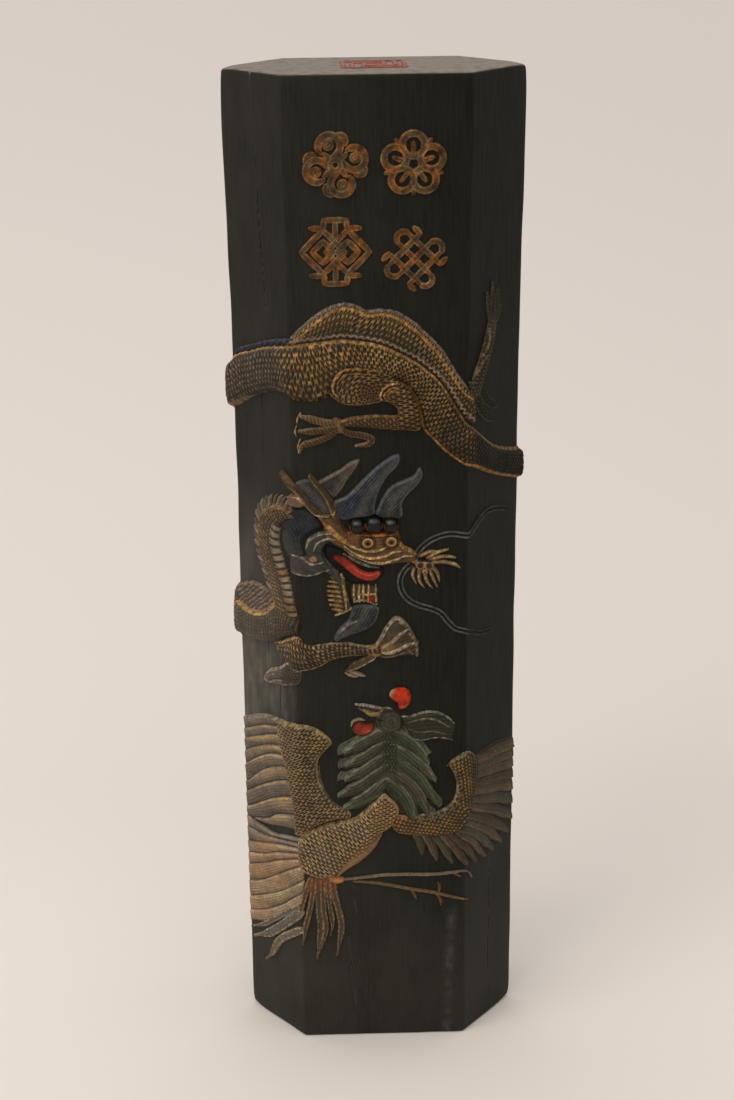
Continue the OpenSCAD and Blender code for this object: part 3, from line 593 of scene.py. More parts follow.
def make_material(name, wear, roughness, bump_mm, flake=0.0, sheen=0.0, shine=0.125):
    """Ink under a coat of paint whose colour and cover come from the piece, worn by fine noise."""
    mat = bpy.data.materials.new(name)
    mat.use_nodes = True
    tree = mat.node_tree
    tree.nodes.clear()
    out = tree.nodes.new("ShaderNodeOutputMaterial")
    shader = tree.nodes.new("ShaderNodeBsdfPrincipled")
    tree.links.new(shader.outputs[0], out.inputs[0])
    where = wire(tree, "ShaderNodeTexCoord").outputs["Object"]
    ink, grain = ink_colour(tree, where)
    coat = wire(tree, "ShaderNodeAttribute", attribute_name="paint")
    rub = noise(tree, where, 0.9, (1, 1, 0.7), 5.0, 0.65)
    patch = noise(tree, where, 0.16, (1, 1, 0.8), 3.0, 0.6)
    worn = maths(tree, "ADD", maths(tree, "MULTIPLY", rub, 0.6), maths(tree, "MULTIPLY", patch, 0.4))
    fine = noise(tree, where, 3.0, (1, 1, 1), 2.0, 0.6)
    worn = maths(tree, "ADD", maths(tree, "MULTIPLY", worn, 0.7), maths(tree, "MULTIPLY", fine, 0.3))
    left_on = ranged(tree, worn, 0.62, 0.46, 1.0 - wear, 1.0)
    cover = maths(tree, "MULTIPLY", coat.outputs["Alpha"], left_on)
    shade = ranged(tree, rub, 0.3, 0.7, 0.62, 1.18)
    tone = wire(tree, "ShaderNodeVectorMath", {0: coat.outputs["Color"]}, operation="SCALE")
    tree.links.new(shade, tone.inputs["Scale"])
    tree.links.new(blend(tree, ink, tone.outputs[0], cover), shader.inputs["Base Color"])
    tree.links.new(ranged(tree, cover, 0.0, 1.0, 0.56, roughness), shader.inputs["Roughness"])
    shader.inputs["Specular IOR Level"].default_value = shine
    if flake:
        tree.links.new(maths(tree, "MULTIPLY", cover, flake), shader.inputs["Metallic"])
    if sheen:
        shader.inputs["Coat Weight"].default_value = sheen
        shader.inputs["Coat Roughness"].default_value = 0.18
    rough_height = maths(tree, "ADD", maths(tree, "MULTIPLY", grain, 0.6),
                         maths(tree, "MULTIPLY", noise(tree, where, 2.2, (1, 1, 1), 3.0), 0.7))
    bump = wire(tree, "ShaderNodeBump", {"Height": rough_height, "Strength": 0.6,
                                         "Distance": bump_mm * MM})
    tree.links.new(bump.outputs[0], shader.inputs["Normal"])
    return mat


MATERIALS = {}


def make_materials():
    for slot, wear, roughness, bump_mm, flake, sheen in (
            ("pressed_ink", 0.5, 0.55, 0.12, 0.0, 0.0), ("red_pigment", 0.35, 0.5, 0.08, 0.0, 0.0),
            ("gilt_paint", 0.6, 0.45, 0.08, 0.25, 0.0), ("dragon_scales", 0.45, 0.5, 0.06, 0.15, 0.0),
            ("worn_gold", 0.4, 0.45, 0.06, 0.25, 0.0), ("blue_pigment", 0.45, 0.6, 0.06, 0.0, 0.0),
            ("black_lacquer", 0.05, 0.24, 0.02, 0.0, 0.22), ("green_pigment", 0.4, 0.6, 0.06, 0.0, 0.0),
            ("tan_pigment", 0.45, 0.6, 0.06, 0.0, 0.0)):
        MATERIALS[slot] = make_material(slot, wear, roughness, bump_mm, flake, sheen)


# ---------------------------------------------------------------- the block

CRACKS = [([(-34.8, 262), (-34.9, 250), (-34, 233), (-33.2, 222), (-32.6, 213)], 0.16, 0.5),
          ([(-8.9, 52), (-8.5, 47), (-7.6, 41)], 0.12, 0.3),
          ([(-10.2, 33), (-9.5, 26), (-9, 21), (-8.3, 10.6)], 0.12, 0.3),
          ([(-30.5, 117), (-31.4, 108), (-31, 101)], 0.1, 0.25),
          ([(36, 60), (36.6, 42), (36.2, 20), (36.8, 6)], 0.1, 0.25)]


def make_block():
    columns = list(girth_steps(-GIRTH / 2, GIRTH / 2, 1.0)[:-1])
    for path, _, _ in CRACKS:
        lo, hi = min(p[0] for p in path) - 0.8, max(p[0] for p in path) + 0.8
        columns = [c for c in columns if not lo < c < hi] + list(np.arange(lo, hi, 0.17))
    gs = np.array(sorted(columns))
    bend = [0.0, 0.06, 0.2, 0.42, 0.75, 1.0]
    rim = 1.0
    zs = np.concatenate([[rim * b for b in bend[:-1]], np.arange(rim, HEIGHT - rim + 0.01, 1.15),
                         [HEIGHT - rim * b for b in bend[::-1]]])
    zs = np.unique(np.round(zs, 4))
    G, Z = np.meshgrid(gs, zs, indexing="ij")
    x, y, nx, ny = skin(G)
    edge = np.minimum(Z, HEIGHT - Z)
    tuck = np.where(edge < rim, rim - np.sqrt(np.maximum(rim ** 2 - (rim - edge) ** 2, 0)), 0.0)
    side_corner = bell(np.abs(G) - 49.1, 3.5)
    chip = side_corner * np.exp(-Z / 1.4) * 0.7 + 0.5 * side_corner * np.exp(-(HEIGHT - Z) / 4.0)
    uneven = 0.10 * fuzz(G, Z, 37, 1.0) + 0.05 * fuzz(G, Z, 13, 2.0)
    dent = np.zeros(G.shape)
    dark = np.zeros(G.shape)
    for path, half, deep in CRACKS:
        d, _, _, w = track(G, Z, width_path(path, half, (0.2, 0.2)), 1.2)
        dent += deep * bell(d, np.maximum(w, 0.05))
        dark = np.maximum(dark, bell(d, w * 1.3 + 0.05))
    push = uneven - tuck - chip - dent
    flare = 1 + 0.03 * smooth((Z - 165) / 115) ** 2
    verts = np.stack([(x + nx * push) * flare, y + ny * push, Z], -1)
    corner_low = side_corner * 0.3 * np.exp(-Z / 2.0)
    verts[..., 2] += corner_low - 0.35 * side_corner * np.exp(-(HEIGHT - Z) / 3.0)
    m, n = G.shape
    flat = verts.reshape(-1, 3)
    i = np.arange(m)[:, None]
    j = np.arange(n - 1)[None, :]
    nxt = (i + 1) % m
    quads = np.stack([i * n + j, nxt * n + j, nxt * n + j + 1, i * n + j + 1], -1).reshape(-1, 4)
    faces = [tuple(q) for q in quads.tolist()]
    points = [tuple(v) for v in (flat * MM).tolist()]
    # The two ends: rings that shrink towards the middle, with the lid a little uneven
    for end, row in ((1, n - 1), (0, 0)):
        rim_ids = [k * n + row for k in range(m)]
        ring = rim_ids
        for shrink in (0.97, 0.92, 0.8, 0.65, 0.5, 0.35, 0.2, 0.08):
            new = []
            for k in rim_ids:
                px, py, pz = flat[k]
                gx, gy = px * shrink, py * shrink
                lift = 0.08 * float(fuzz(np.array(gx), np.array(gy), 14, 3.0)) * (1 if end else 0)
                base = (HEIGHT if end else 0.25) + lift
                z = pz + (base - pz) * min(1.0, (1 - shrink) * 12)
                new.append(len(points))
                points.append((gx * MM, gy * MM, z * MM))
            for k in range(m):
                a, b = ring[k], ring[(k + 1) % m]
                c, d = new[(k + 1) % m], new[k]
                faces.append((a, b, c, d) if end else (b, a, d, c))
            ring = new
        centre = len(points)
        points.append((0, 0, (HEIGHT if end else 0.25) * MM))
        for k in range(m):
            a, b = ring[k], ring[(k + 1) % m]
            faces.append((a, b, centre) if end else (b, a, centre))
    mesh = bpy.data.meshes.new("block")
    mesh.from_pydata(points, [], faces)
    mesh.polygons.foreach_set("use_smooth", np.ones(len(faces), bool))
    mesh.update()
    paint = np.zeros((len(points), 4), np.float32)
    # A pale streak low on the front face near its right edge: part wear, part painted highlight.
    worn_highlight_streak = bell(G - 20.0 + 0.035 * (42 - Z), 1.2) * smooth((44 - Z) / 6) * 0.2 * np.clip(0.8 + 0.6
        * fuzz(G * 0.3, Z, 9, 72.0) + 0.7 * fuzz(G * 3, Z, 3, 72.5), 0, 2)
    streak = fuzz(G * 1.4, Z * 0.35, 3, 74.0) + 0.6 * fuzz(G * 3, Z * 0.6, 2.4, 74.5)
    # Painted sheen: pale streaks, with a few sooty ones, on the left face part way up, standing in for a
    # reflection on the glossy ink.
    left_sheen_patch = smooth((-22 - G) / 5) * smooth((G + 56) / 6) * smooth((134 - Z) / 14) * smooth((Z - 66) / 30)
    wear_and_sheen = worn_highlight_streak + 0.22 * left_sheen_patch * np.clip(np.abs(streak), 0, 1.4)
    black = dark > 0.3
    cover = np.where(black, dark, wear_and_sheen).reshape(-1)
    paint[:len(flat), 3] = cover
    sooty = ((streak < 0.12) & (left_sheen_patch > 0.01)).reshape(-1, 1)
    paint[:len(flat), :3] = np.where(sooty, np.array(lin(22, 20, 17)), np.array(lin(126, 118, 106)))
    paint[:len(flat), :3] = np.where(black.reshape(-1, 1), np.array(lin(12, 11, 10)), paint[:len(flat), :3])
    layer = mesh.attributes.new("paint", "FLOAT_COLOR", "POINT")
    layer.data.foreach_set("color", paint.ravel())
    piece = bpy.data.objects.new("block", mesh)
    bpy.context.scene.collection.objects.link(piece)
    mesh.materials.append(MATERIALS["pressed_ink"])
    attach(piece, "root")
    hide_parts("ink_body")
    print("block", len(faces), "faces")


# ---------------------------------------------------------------- the dragon's body

RIDGE = [(-50.8, 200.4), (-49, 201.5), (-45, 204.5), (-40, 206), (-35, 207.8), (-30, 209), (-23.5, 210.2),
         (-15, 211), (-10, 211.5), (-5, 211), (0, 210), (5, 207.8), (10, 205), (15, 200.8), (18, 197),
         (20, 193.4), (22, 190.2), (23.5, 188), (25, 186.8), (30, 183), (35, 179.5), (40, 177.4),
         (45, 176), (49.1, 175.2), (50.8, 174.9)]
BELLY = [(-50.8, 187.8), (-49, 188.3), (-45, 190.6), (-40, 193), (-35, 195.2), (-30, 196.6), (-25, 196.8),
         (-22.4, 195.4), (-18, 195), (-14, 196), (-9, 199.5), (-3, 201.5), (3, 201.2), (7.6, 199),
         (10, 195.4), (11.2, 190.6), (12, 187), (15.2, 183.4), (18.4, 180.2), (21.6, 177.8), (23.5, 176.6),
         (27, 175.3), (30.6, 173.4), (34.1, 171.8), (39, 169.7), (43.2, 168.3), (47.4, 166.9),
         (49.1, 166.6), (50.8, 166.3)]


def between(s, upper, lower, reach=16.0):
    """Place across (0 at the lower curve, 1 at the upper) and along a band."""
    up, low = curve(upper), curve(lower)
    du, _, su, _ = track(s.G, s.Z, up, reach)
    dl, _, sl, _ = track(s.G, s.Z, low, reach)
    edge = inside(s.G, s.Z, np.vstack([up, low[::-1]]))
    v = dl / np.maximum(du + dl, 1e-6)
    full_u = np.hypot(*np.diff(up[:, :2], axis=0).T).sum()
    full_l = np.hypot(*np.diff(low[:, :2], axis=0).T).sum()
    along = (su / full_u * v + sl / full_l * (1 - v)) * (full_u + full_l) / 2
    if abs(up[-1, 0] - up[0, 0]) > abs(up[-1, 1] - up[0, 1]):
        along = along + bend(s.G)
    return edge, v, along


def middle_run(s, upper, lower, reach=14.0):
    """Place along the line half way between two curves."""
    halves = []
    for c in (curve(upper), curve(lower)):
        run = np.concatenate([[0], np.cumsum(np.hypot(*np.diff(c[:, :2], axis=0).T))])
        q = np.linspace(0, run[-1], 60)
        halves.append(np.column_stack([np.interp(q, run, c[:, 0]), np.interp(q, run, c[:, 1])]))
    return track(s.G, s.Z, (halves[0] + halves[1]) / 2, reach)[2] + bend(s.G, 2.3)


def scaly(s, edge, v, along, across_mm, rise, slant=0.0, pu=1.15, pv=1.15, rgb=None, wide=0.3):
    """A rounded scaly body: the net between the pits is painted, and the pits stay dark."""
    x = v * across_mm
    wob = 0.22 * fuzz(s.G, s.Z, 5.5, 4.0) + 0.1 * fuzz(s.G, s.Z, 1.7, 4.5)
    net = drops(along + slant * x + wob, x + 0.5 * wob, pu, pv, wide * (1 + 0.15 * fuzz(s.G, s.Z, 2.6, 4.8)))
    dome = np.maximum(1 - (2 * v - 1) ** 4, 0) ** 0.5
    h = np.where(edge > 0, rise * dome * smooth(0.25 + edge / 1.2) + 0.26 * (net - 0.6) * smooth(edge / 0.8),
                 edge * 1.3)
    tone = rgb if rgb is not None else mix(OCHRE, GOLD, smooth(0.5 + 0.5 * fuzz(s.G, s.Z, 9, 5.0)))
    tone = tone * (0.4 + 0.6 * net[..., None]) * (1 + 0.22 * fuzz(s.G, s.Z, 2.2, 5.5))[..., None]
    # Painted shade: darker towards the body's lower edge and lighter towards its upper edge, for its
    # roundness.
    tone = tone * (0.62 + 0.5 * smooth(v * 1.25))[..., None]
    s.lay(h, tone, np.clip(0.06 + 0.94 * net * (0.85 + 0.2 * fuzz(s.G, s.Z, 3.1, 5.7)), 0, 1))


def dragon_trunk():
    s = Sheet(-50.6, 50.6, 163, 213.6, 0.22)
    edge, v, along = between(s, RIDGE, BELLY)
    along = middle_run(s, RIDGE, BELLY)
    G = s.G
    tone = mix(lin(162, 118, 62), lin(196, 154, 92), smooth(0.5 + 0.5 * fuzz(G, s.Z, 9, 5.0)))
    left = smooth((-22 - G) / 4)[..., None]
    tone = tone * (1 - left) + np.array(lin(140, 118, 98)) * left
    right = smooth((G - 22) / 4)[..., None]
    tone = tone * (1 - right) + np.array(lin(86, 74, 56)) * right
    rise = 2.35 - 0.45 * smooth((G - 15) / 25)
    tone = tone * (1 - 0.42 * smooth((G - 8) / 14))[..., None]
    scaly(s, edge, v, along, 12.5, rise, 0.12, 1.38, 1.5, tone, wide=0.31)
    green = smooth(fuzz(G, s.Z, 11, 8.0) * 1.6 - 0.5) * 0.35
    s.tint(np.array(lin(78, 84, 66)), green * (edge > 0.8), s.cover)
    line(s, [(p[0], p[1] - 0.9) for p in RIDGE], 0.4, lin(40, 30, 20), 0.0, 0.7, (1, 1))
    line(s, [p for p in RIDGE if p[0] < 19], 0.62, lin(212, 166, 104), 0.45, 1.0, (1, 0.6))
    line(s, [p for p in RIDGE if p[0] > 17], 0.5, lin(150, 120, 78), 0.4, 0.85, (0.8, 1))
    line(s, [(7.6, 199), (10, 195.4), (11.2, 190.6), (12, 187), (15.2, 183.4), (18.4, 180.2), (21.6, 177.8),
             (23.5, 176.6), (27, 175.4), (30.6, 173.6), (34.1, 172), (39, 170), (43.2, 168.6), (49.1, 166.8)],
         0.5, lin(190, 136, 80), 0.3, 0.8, (0.5, 1))
    line(s, [(-50.8, 188.5), (-47, 189.9), (-43, 192), (-39, 193.8)], 0.8, lin(170, 138, 112), 0.2, 0.6,
         (1, 0.3))
    build(s, "dragon_trunk_relief", "dragon_scales", ["dragon_trunk"])


HUMP = [(-25, 210.4), (-23.5, 211.8), (-21.2, 214.2), (-18.4, 216.6), (-15.2, 219), (-12, 220.6),
        (-8.8, 221.2),
        (-5.6, 220.5), (-3.2, 219.2), (0, 219.4), (4, 219), (7.2, 217.4), (10.4, 215), (13.6, 211.8),
        (16.8, 208.2), (19.2, 204.2), (21.2, 201), (23.5, 197.8), (25.2, 195.6), (26.6, 191)]


def dragon_back_coil():
    s = Sheet(-26, 28, 184, 222.8, 0.23)
    floor = [p for p in RIDGE if -26 <= p[0] <= 26]
    edge, v, along = between(s, HUMP, floor)
    tone = mix(lin(112, 92, 62), lin(188, 146, 88), smooth(v * 1.2 - 0.2))
    fade = smooth((s.G - 19) / 6)[..., None]
    tone = tone * (1 - fade * 0.45)
    x = v * 8.5
    wob = 0.2 * fuzz(s.G, s.Z, 5, 6.0)
    net = drops(along - (0.9 - 0.025 * s.G) * x + wob, x, 1.5, 1.45, 0.3)
    dome = 0.62 + 0.38 * np.sin(math.pi * np.clip(v, 0, 1))
    h = np.where(edge > 0, 1.55 * dome * smooth(0.3 + edge / 1.4) + 0.26 * (net - 0.6) * smooth(edge),
                 edge * 1.3)
    s.lay(h, tone * (0.5 + 0.5 * net[..., None]), np.clip(0.1 + 0.85 * net, 0, 1))
    outer = curve(HUMP[:-1])
    line(s, outer, 0.36, lin(150, 132, 122), 0.25, 0.8, (1, 1))
    line(s, curve([(p[0], p[1] - 0.62) for p in HUMP[:-1]]), 0.26, lin(44, 34, 24), 0.0, 0.75, (1, 1))
    toward = curve([(p[0] + (0.9 if p[0] < -14 else 0.2 if p[0] < 2 else -0.8), p[1] - 1.15)
                    for p in HUMP[:-1]])
    line(s, toward, 0.42, lin(196, 144, 82), 0.3, 0.9, (0.7, 0.5))
    ruff, _, place, _ = track(s.G, s.Z, curve(floor), 3.0)
    lobe = 0.5 + 0.5 * np.cos(2 * math.pi * place / 1.7)
    rim = bell(ruff - 1.2 - 0.5 * lobe, 0.32) * (edge > 0)
    s.h += 0.28 * rim
    s.tint(PINK_TAN, rim * 0.85)
    build(s, "dragon_back_coil_relief", "dragon_scales", ["dragon_back_coil"])


def mass(s, outline, rise, rgb, cover=0.8, edge=1.2, crown=0.4):
    """A broad raised shape with rounded edges. Returns the distance in from its outline."""
    e = inside(s.G, s.Z, curve(outline, closed=True))
    body = rise * smooth(0.25 + e / edge) + crown * smooth(e / 4)
    s.lay(np.where(e > 0, body, e * FALL), rgb, cover, where=e > -3)
    return e


def carve(s, net, mask, deep=0.26, low=0.12):
    """Cuts a net into the part of the sheet that the mask holds; its pits keep little paint."""
    s.h = s.h + deep * (net - 0.6) * mask
    s.rgb = s.rgb * (1 - (mask * (1 - net) * 0.6)[..., None])
    s.cover = s.cover * (1 - mask * (1 - low) * (1 - net))


def plume(s, points, half, rise, rgb, edge, barb=0.8, slope=1.2, tilt=0.0, cover=0.75, taper=(0.8, 0.3),
          rib=0.4):
    """A feather: a domed blade with barbs, a rib and lighter edges."""
    path = width_path(points, half, taper)
    reach = float(path[:, 2].max()) + 0.8
    d, side, along, w = track(s.G, s.Z, path, reach)
    w = np.maximum(w, 0.05)
    x = d / w
    barbs = stripes(along + slope * d, barb)
    dome = np.sqrt(np.maximum(1 - x * x, 0))
    lift = rise * (0.6 + 0.4 * dome + tilt * side * np.minimum(x, 1))
    body = lift * smooth((1 - x) * w / 0.4 + 0.2) + 0.1 * (barbs - 0.5)
    rim = bell((1 - x) * w, 0.42)
    mid = bell(d, 0.25) * rib
    tone = mix(np.asarray(rgb) * (0.5 + 0.5 * barbs[..., None]), edge, np.clip(rim + mid, 0, 1))
    s.lay(np.where(x < 1, body, -(d - w) * FALL), tone,
          np.clip(cover * (0.55 + 0.45 * barbs) + 0.45 * rim, 0, 1), where=d <= reach)


def vane(s, points, half, rise, rgb, edge, pitch=0.85, tilt=0.35, cover=0.75, taper=(1, 0.7), groove=0.35,
         seed=0.0,
         edge_mm=0.3, rim_on=0.8, comb=0.6):
    """A broad feather streaked along its length, raised along its upper side, with a thin light edge."""
    path = width_path(points, half, taper)
    reach = float(path[:, 2].max()) + 0.8
    d, side, along, w = track(s.G, s.Z, path, reach)
    w = np.maximum(w, 0.05)
    x = d / w
    across = d * side
    wave = 0.3 * fuzz(along * 0.5, across, 7, 60 + seed) + 0.12 * fuzz(along, across, 2.4, 61 + seed)
    hair = stripes(across + wave, pitch, 0.8)
    body = rise * (0.62 + 0.38 * np.sqrt(np.maximum(1 - x * x, 0)) + tilt * side * np.minimum(x, 1))
    high_side = side * (1 if tilt >= 0 else -1) > 0
    fall = np.where(high_side, 0.14, groove)
    body = body * smooth((1 - x) * w / fall + 0.1) + 0.13 * comb * (hair - 0.5)
    rim = bell((1 - x) * w, edge_mm) * rim_on * (0.7 + 0.3 * fuzz(along, across, 3, 62 + seed))
    rim = rim * np.where(high_side, 1, 0.35)
    shade = 1 - 0.5 * comb * (1 - hair) + 0.14 * fuzz(along * 0.4, across, 6, 63 + seed)
    # Painted shade: lighter towards the raised side and darker towards the low side, darkest along the low
    # edge.
    shade = shade * (0.74 + 0.36 * np.where(high_side, x, -x)) * (1 - 0.5 * bell((x - 0.95) * w, 0.6)
        * ~high_side)
    tone = mix(np.asarray(rgb) * shade[..., None], edge, np.clip(rim, 0, 1))
    s.lay(np.where(x < 1, body, -(d - w) * FALL), tone,
          np.clip(cover * (1 - 0.6 * comb * (1 - hair)) + 0.35 * rim, 0, 1), where=d <= reach)


def fan(s, edges, rise, tones, right, pitch=0.8, rim_on=0.6, comb=0.5, glow=1.0):
    """Feathers between a stack of curves that run left to right; each one overlaps the next one up."""
    zs = []
    for e in edges:
        c = curve(e)
        zs.append(np.interp(s.G, c[:, 0], c[:, 1]))
    cut = right if np.ndim(right) == 0 else np.interp(s.Z, *np.array(right, float).T)
    end = cut - s.G
    for k in range(len(zs) - 1):
        low, high, light = (np.asarray(c) for c in tones[k])
        wide = np.maximum(zs[k + 1] - zs[k], 0.2)
        v = (s.Z - zs[k]) / wide
        across = v * 4.2 + 0.22 * fuzz(s.G * 0.35, v * 4.2, 4.5, 80 + k)
        hair = stripes(across + 0.3 * k, pitch,
                       0.8) * (0.75 + 0.35 * fuzz(s.G * 0.4, across * 1.3, 5, 81 + k))
        top = (1 - v) * wide
        body = rise * (0.38 + 0.62 * smooth(v * 1.15)) * smooth(top / 0.34 + 0.12) + 0.14 * comb * (hair
            - 0.5)
        if k == 0:
            body = body * smooth(v * wide / 0.4 + 0.1)
        # Painted light: each feather runs from its low tone along its lower edge to its high tone along its
        # raised upper edge, and painted shade darkens its lower edge beside the raised edge of the feather
        # below.
        lit = smooth(v * 1.1) ** glow
        tone = low * (1 - lit[..., None]) + high * lit[..., None]
        shade = (0.56 + 0.44 * smooth(v * wide / 0.95)) * (1 - 0.6 * comb * (1 - hair)) + 0.12 * fuzz(s.G
            * 0.4, s.Z, 6, 82 + k)
        rim = bell(top - 0.42, 0.4) * rim_on * np.clip(0.7 + 0.5 * fuzz(s.G, s.Z, 6, 83 + k), 0, 1)
        tone = mix(tone * shade[..., None], light, np.clip(rim, 0, 1))
        keep = (v > 0) & (v <= 1) & (end > -1.5)
        body = body * (1 - 0.66 * smooth((-43 - s.G) / 6))
        h = np.where(end > 0, body * smooth(end / 0.7 + 0.1), end * FALL)
        s.lay(h, tone, np.clip(0.86 * (1 - 0.55 * comb * (1 - hair))
                               * (0.55 + 0.45 * smooth(v * wide / 0.7)) + 0.3 * rim, 0, 1),
              where=keep)
    for z, way in ((zs[0], -1), (zs[-1], 1)):
        off = (s.Z - z) * way
        s.lay(-off * FALL, tones[0][0], 0.3, where=(off > 0) & (off < 1.2) & (end > 0))


def ribbon(s, path, half, rise, rgb, sides, cover=0.55, mid_line=None, thin=0.3):
    """A long flat strand: dark in the middle, a worn light line down each side."""
    mid = curve(path)
    step = np.gradient(mid[:, :2], axis=0)
    step /= np.hypot(step[:, 0], step[:, 1])[:, None]
    normal = np.column_stack([-step[:, 1], step[:, 0]])
    t = np.linspace(0, 1, len(mid))
    swell = np.clip((1 - t) / 0.3, 0.3, 1) * np.clip(t / 0.15 + 0.6, 0, 1)
    d, _, _, w = track(s.G, s.Z, np.column_stack([mid[:, :2], half * swell]), half + 0.9)
    w = np.maximum(w, 0.05)
    s.lay(np.where(d < w, rise * np.sqrt(np.maximum(1 - (d / w) ** 2, 0)) ** 0.6, -(d - w) * 1.5), rgb, cover,
          where=d < w + 0.6)
    for way, colour in zip((-1, 1), sides):
        line(s, mid[:, :2] + normal * (way * max(half - 0.28, 0.3) * swell)[:, None], thin, colour, 0.25,
             0.8, (0.7, 0.3))
    if mid_line is not None:
        line(s, mid[:, :2], thin * 0.8, mid_line, 0.15, 0.5, (0.7, 0.2))


def turned(s, degrees):
    """Coordinates across and along strokes that lie at an angle from the level."""
    a = math.radians(degrees)
    g = s.G + bend(s.G, 1.5)
    return -g * math.sin(a) + s.Z * math.cos(a), g * math.cos(a) + s.Z * math.sin(a)


def patchy(s, a, b, size, seed):
    return mix(a, b, smooth(0.5 + 0.6 * fuzz(s.G, s.Z, size, seed)))


def dragon_back_spines():
    s = Sheet(-46.8, -22.4, 202, 216, 0.2)
    for i in range(9):
        g = -45.5 + 2.55 * i
        z = np.interp(g, [p[0] for p in RIDGE], [p[1] for p in RIDGE])
        colour = lin(96, 84, 96) if i < 5 else lin(84, 96, 104)
        stroke(s, [(g - 0.6, z + 0.1, 0.5), (g + 1.2, z + 1.35, 0.75), (g + 2.6, z + 1.95, 0.55),
                   (g + 3.5, z + 2.3, 0.15)], 0.7, 1.0, lin(36, 42, 66) if i % 2 else lin(44, 46, 58), 0.75)
        line(s, [(g - 0.2, z + 0.9), (g + 1.4, z + 1.95), (g + 3.2, z + 2.5)], 0.26, colour, 0.2, 0.8)
    build(s, "dragon_spines_relief", "blue_pigment", ["dragon_back_spines"])


HAUNCH = [(-13.6, 201), (-12, 203.8), (-8.8, 205.4), (-4.8, 205.6), (-0.8, 204.6), (3.2, 202.6), (6.4, 199.8),
          (9.2, 196.6), (10.8, 192.2), (11.2, 188.6), (10.4, 186.4), (5.6, 186.8), (0.8, 187.2), (-4, 187.8),
          (-8.8, 188), (-10.8, 188), (-10.4, 189.6), (-7.2, 190.4), (-2.4, 190.9), (4, 190.7), (5, 192),
          (4, 193.6), (1.6, 194.8), (-0.8, 194.4), (-5.6, 193.8), (-9.6, 194.2), (-12, 195.8), (-13.8, 198.2)]


def dragon_haunch():
    s = Sheet(-15.5, 13, 184.5, 208, 0.2)
    G, Z = s.G, s.Z
    e = mass(s, HAUNCH, 2.3, patchy(s, lin(134, 98, 52), lin(164, 126, 76), 7, 11.0), 0.9, 1.3, 0.35)
    r = np.hypot(G + 2.5, Z - 196)
    swirl = drops(r + 0.15 * fuzz(G, Z, 4, 12.0), np.arctan2(Z - 196, G + 2.5) * 6.0, 1.42, 1.4, 0.3)
    down, over = turned(s, 6)
    knee = drops(down + 0.3 * fuzz(G, Z, 5, 13.0), over, 1.38, 1.45, 0.3)
    cross, run = turned(s, 118)
    shank = drops(cross, run, 1.05, 1.2, 0.3)
    net = np.where(G + 0.35 * (Z - 190) > 4.6, knee, np.where(Z < 191.6, shank, swirl))
    carve(s, net, smooth(e / 0.7))
    shade = smooth((191.8 - Z) / 2) * smooth((4 - G) / 3)
    s.tint(BROWN, shade * 0.35, s.cover)
    for off, colour, wide in ((0.0, lin(212, 166, 102), 0.46), (0.62, lin(36, 26, 18), 0.3),
                              (1.3, lin(196, 146, 84), 0.38), (1.95, lin(40, 30, 20), 0.26),
                              (2.5, OCHRE, 0.28)):
        line(s, [(-12.6 + off, 196.4 + off * 0.2), (-13.6 + off, 198.6), (-13.3 + off, 201 - off * 0.1),
                 (-11.8 + off * 0.8, 203.7 - off * 0.8), (-8.8, 205.2 - off), (-4.8, 205.4 - off),
                 (-1.5, 204.8 - off)], wide, colour, 0.28, 0.95, (0.5, 0.2))
    for off, colour in ((0.0, lin(200, 156, 96)), (0.55, lin(44, 32, 22)), (1.1, lin(186, 138, 78)),
                        (1.9, OCHRE)):
        line(s, [(1.4 + off, 194.6), (0.2 + off, 196.4 + off * 0.2), (1.1 + off * 0.8, 198.6 - off * 0.6),
                 (3.3, 199.9 - off), (5.4, 199.6 - off)], 0.32, colour, 0.25, 0.9, (0.4, 0.3))
    line(s, [(-10.4, 189.5), (-7.2, 190.3), (-2.4, 190.8), (1, 190.8), (4, 190.6)], 0.3, lin(180, 146, 100),
         0.25, 0.8)
    line(s, [(4.9, 190.8), (5.2, 192.2), (4.2, 193.7), (1.8, 194.9), (-0.8, 194.5), (-5.6, 193.9),
             (-9.6, 194.3),
             (-12.2, 195.9)], 0.4, lin(176, 144, 112), 0.25, 0.9)
    line(s, [(-10.6, 188.1), (-4, 187.8), (0.8, 187.2), (5.6, 186.8), (10.2, 186.6)], 0.3, OCHRE, 0.2, 0.7)
    build(s, "dragon_haunch_relief", "dragon_scales", ["dragon_haunch"])


def toes(s, centres, half, rise, rgb, edge, band=1.0):
    """Finger-like toes: dark and gold across, with light outlines."""
    for path in centres:
        p = width_path(path, half, (0.7, 0.45))
        d, side, along, w = track(s.G, s.Z, p, float(p[:, 2].max()) + 0.8)
        w = np.maximum(w, 0.05)
        x = d / w
        ring = stripes(along + 0.5 * d * side, band, 0.6)
        dome = np.sqrt(np.maximum(1 - x * x, 0))
        body = rise * (0.55 + 0.45 * dome) * smooth((1 - x) * w / 0.35 + 0.2) + 0.07 * ring
        rim = bell((1 - x) * w, 0.27)
        tone = mix(np.asarray(rgb) * (0.22 + 0.36 * ring[..., None]), edge, rim * 0.9)
        s.lay(np.where(x < 1, body, -(d - w) * FALL), tone, np.clip(0.25 + 0.25 * ring + 0.6 * rim, 0, 1),
              where=d <= w + 0.8)


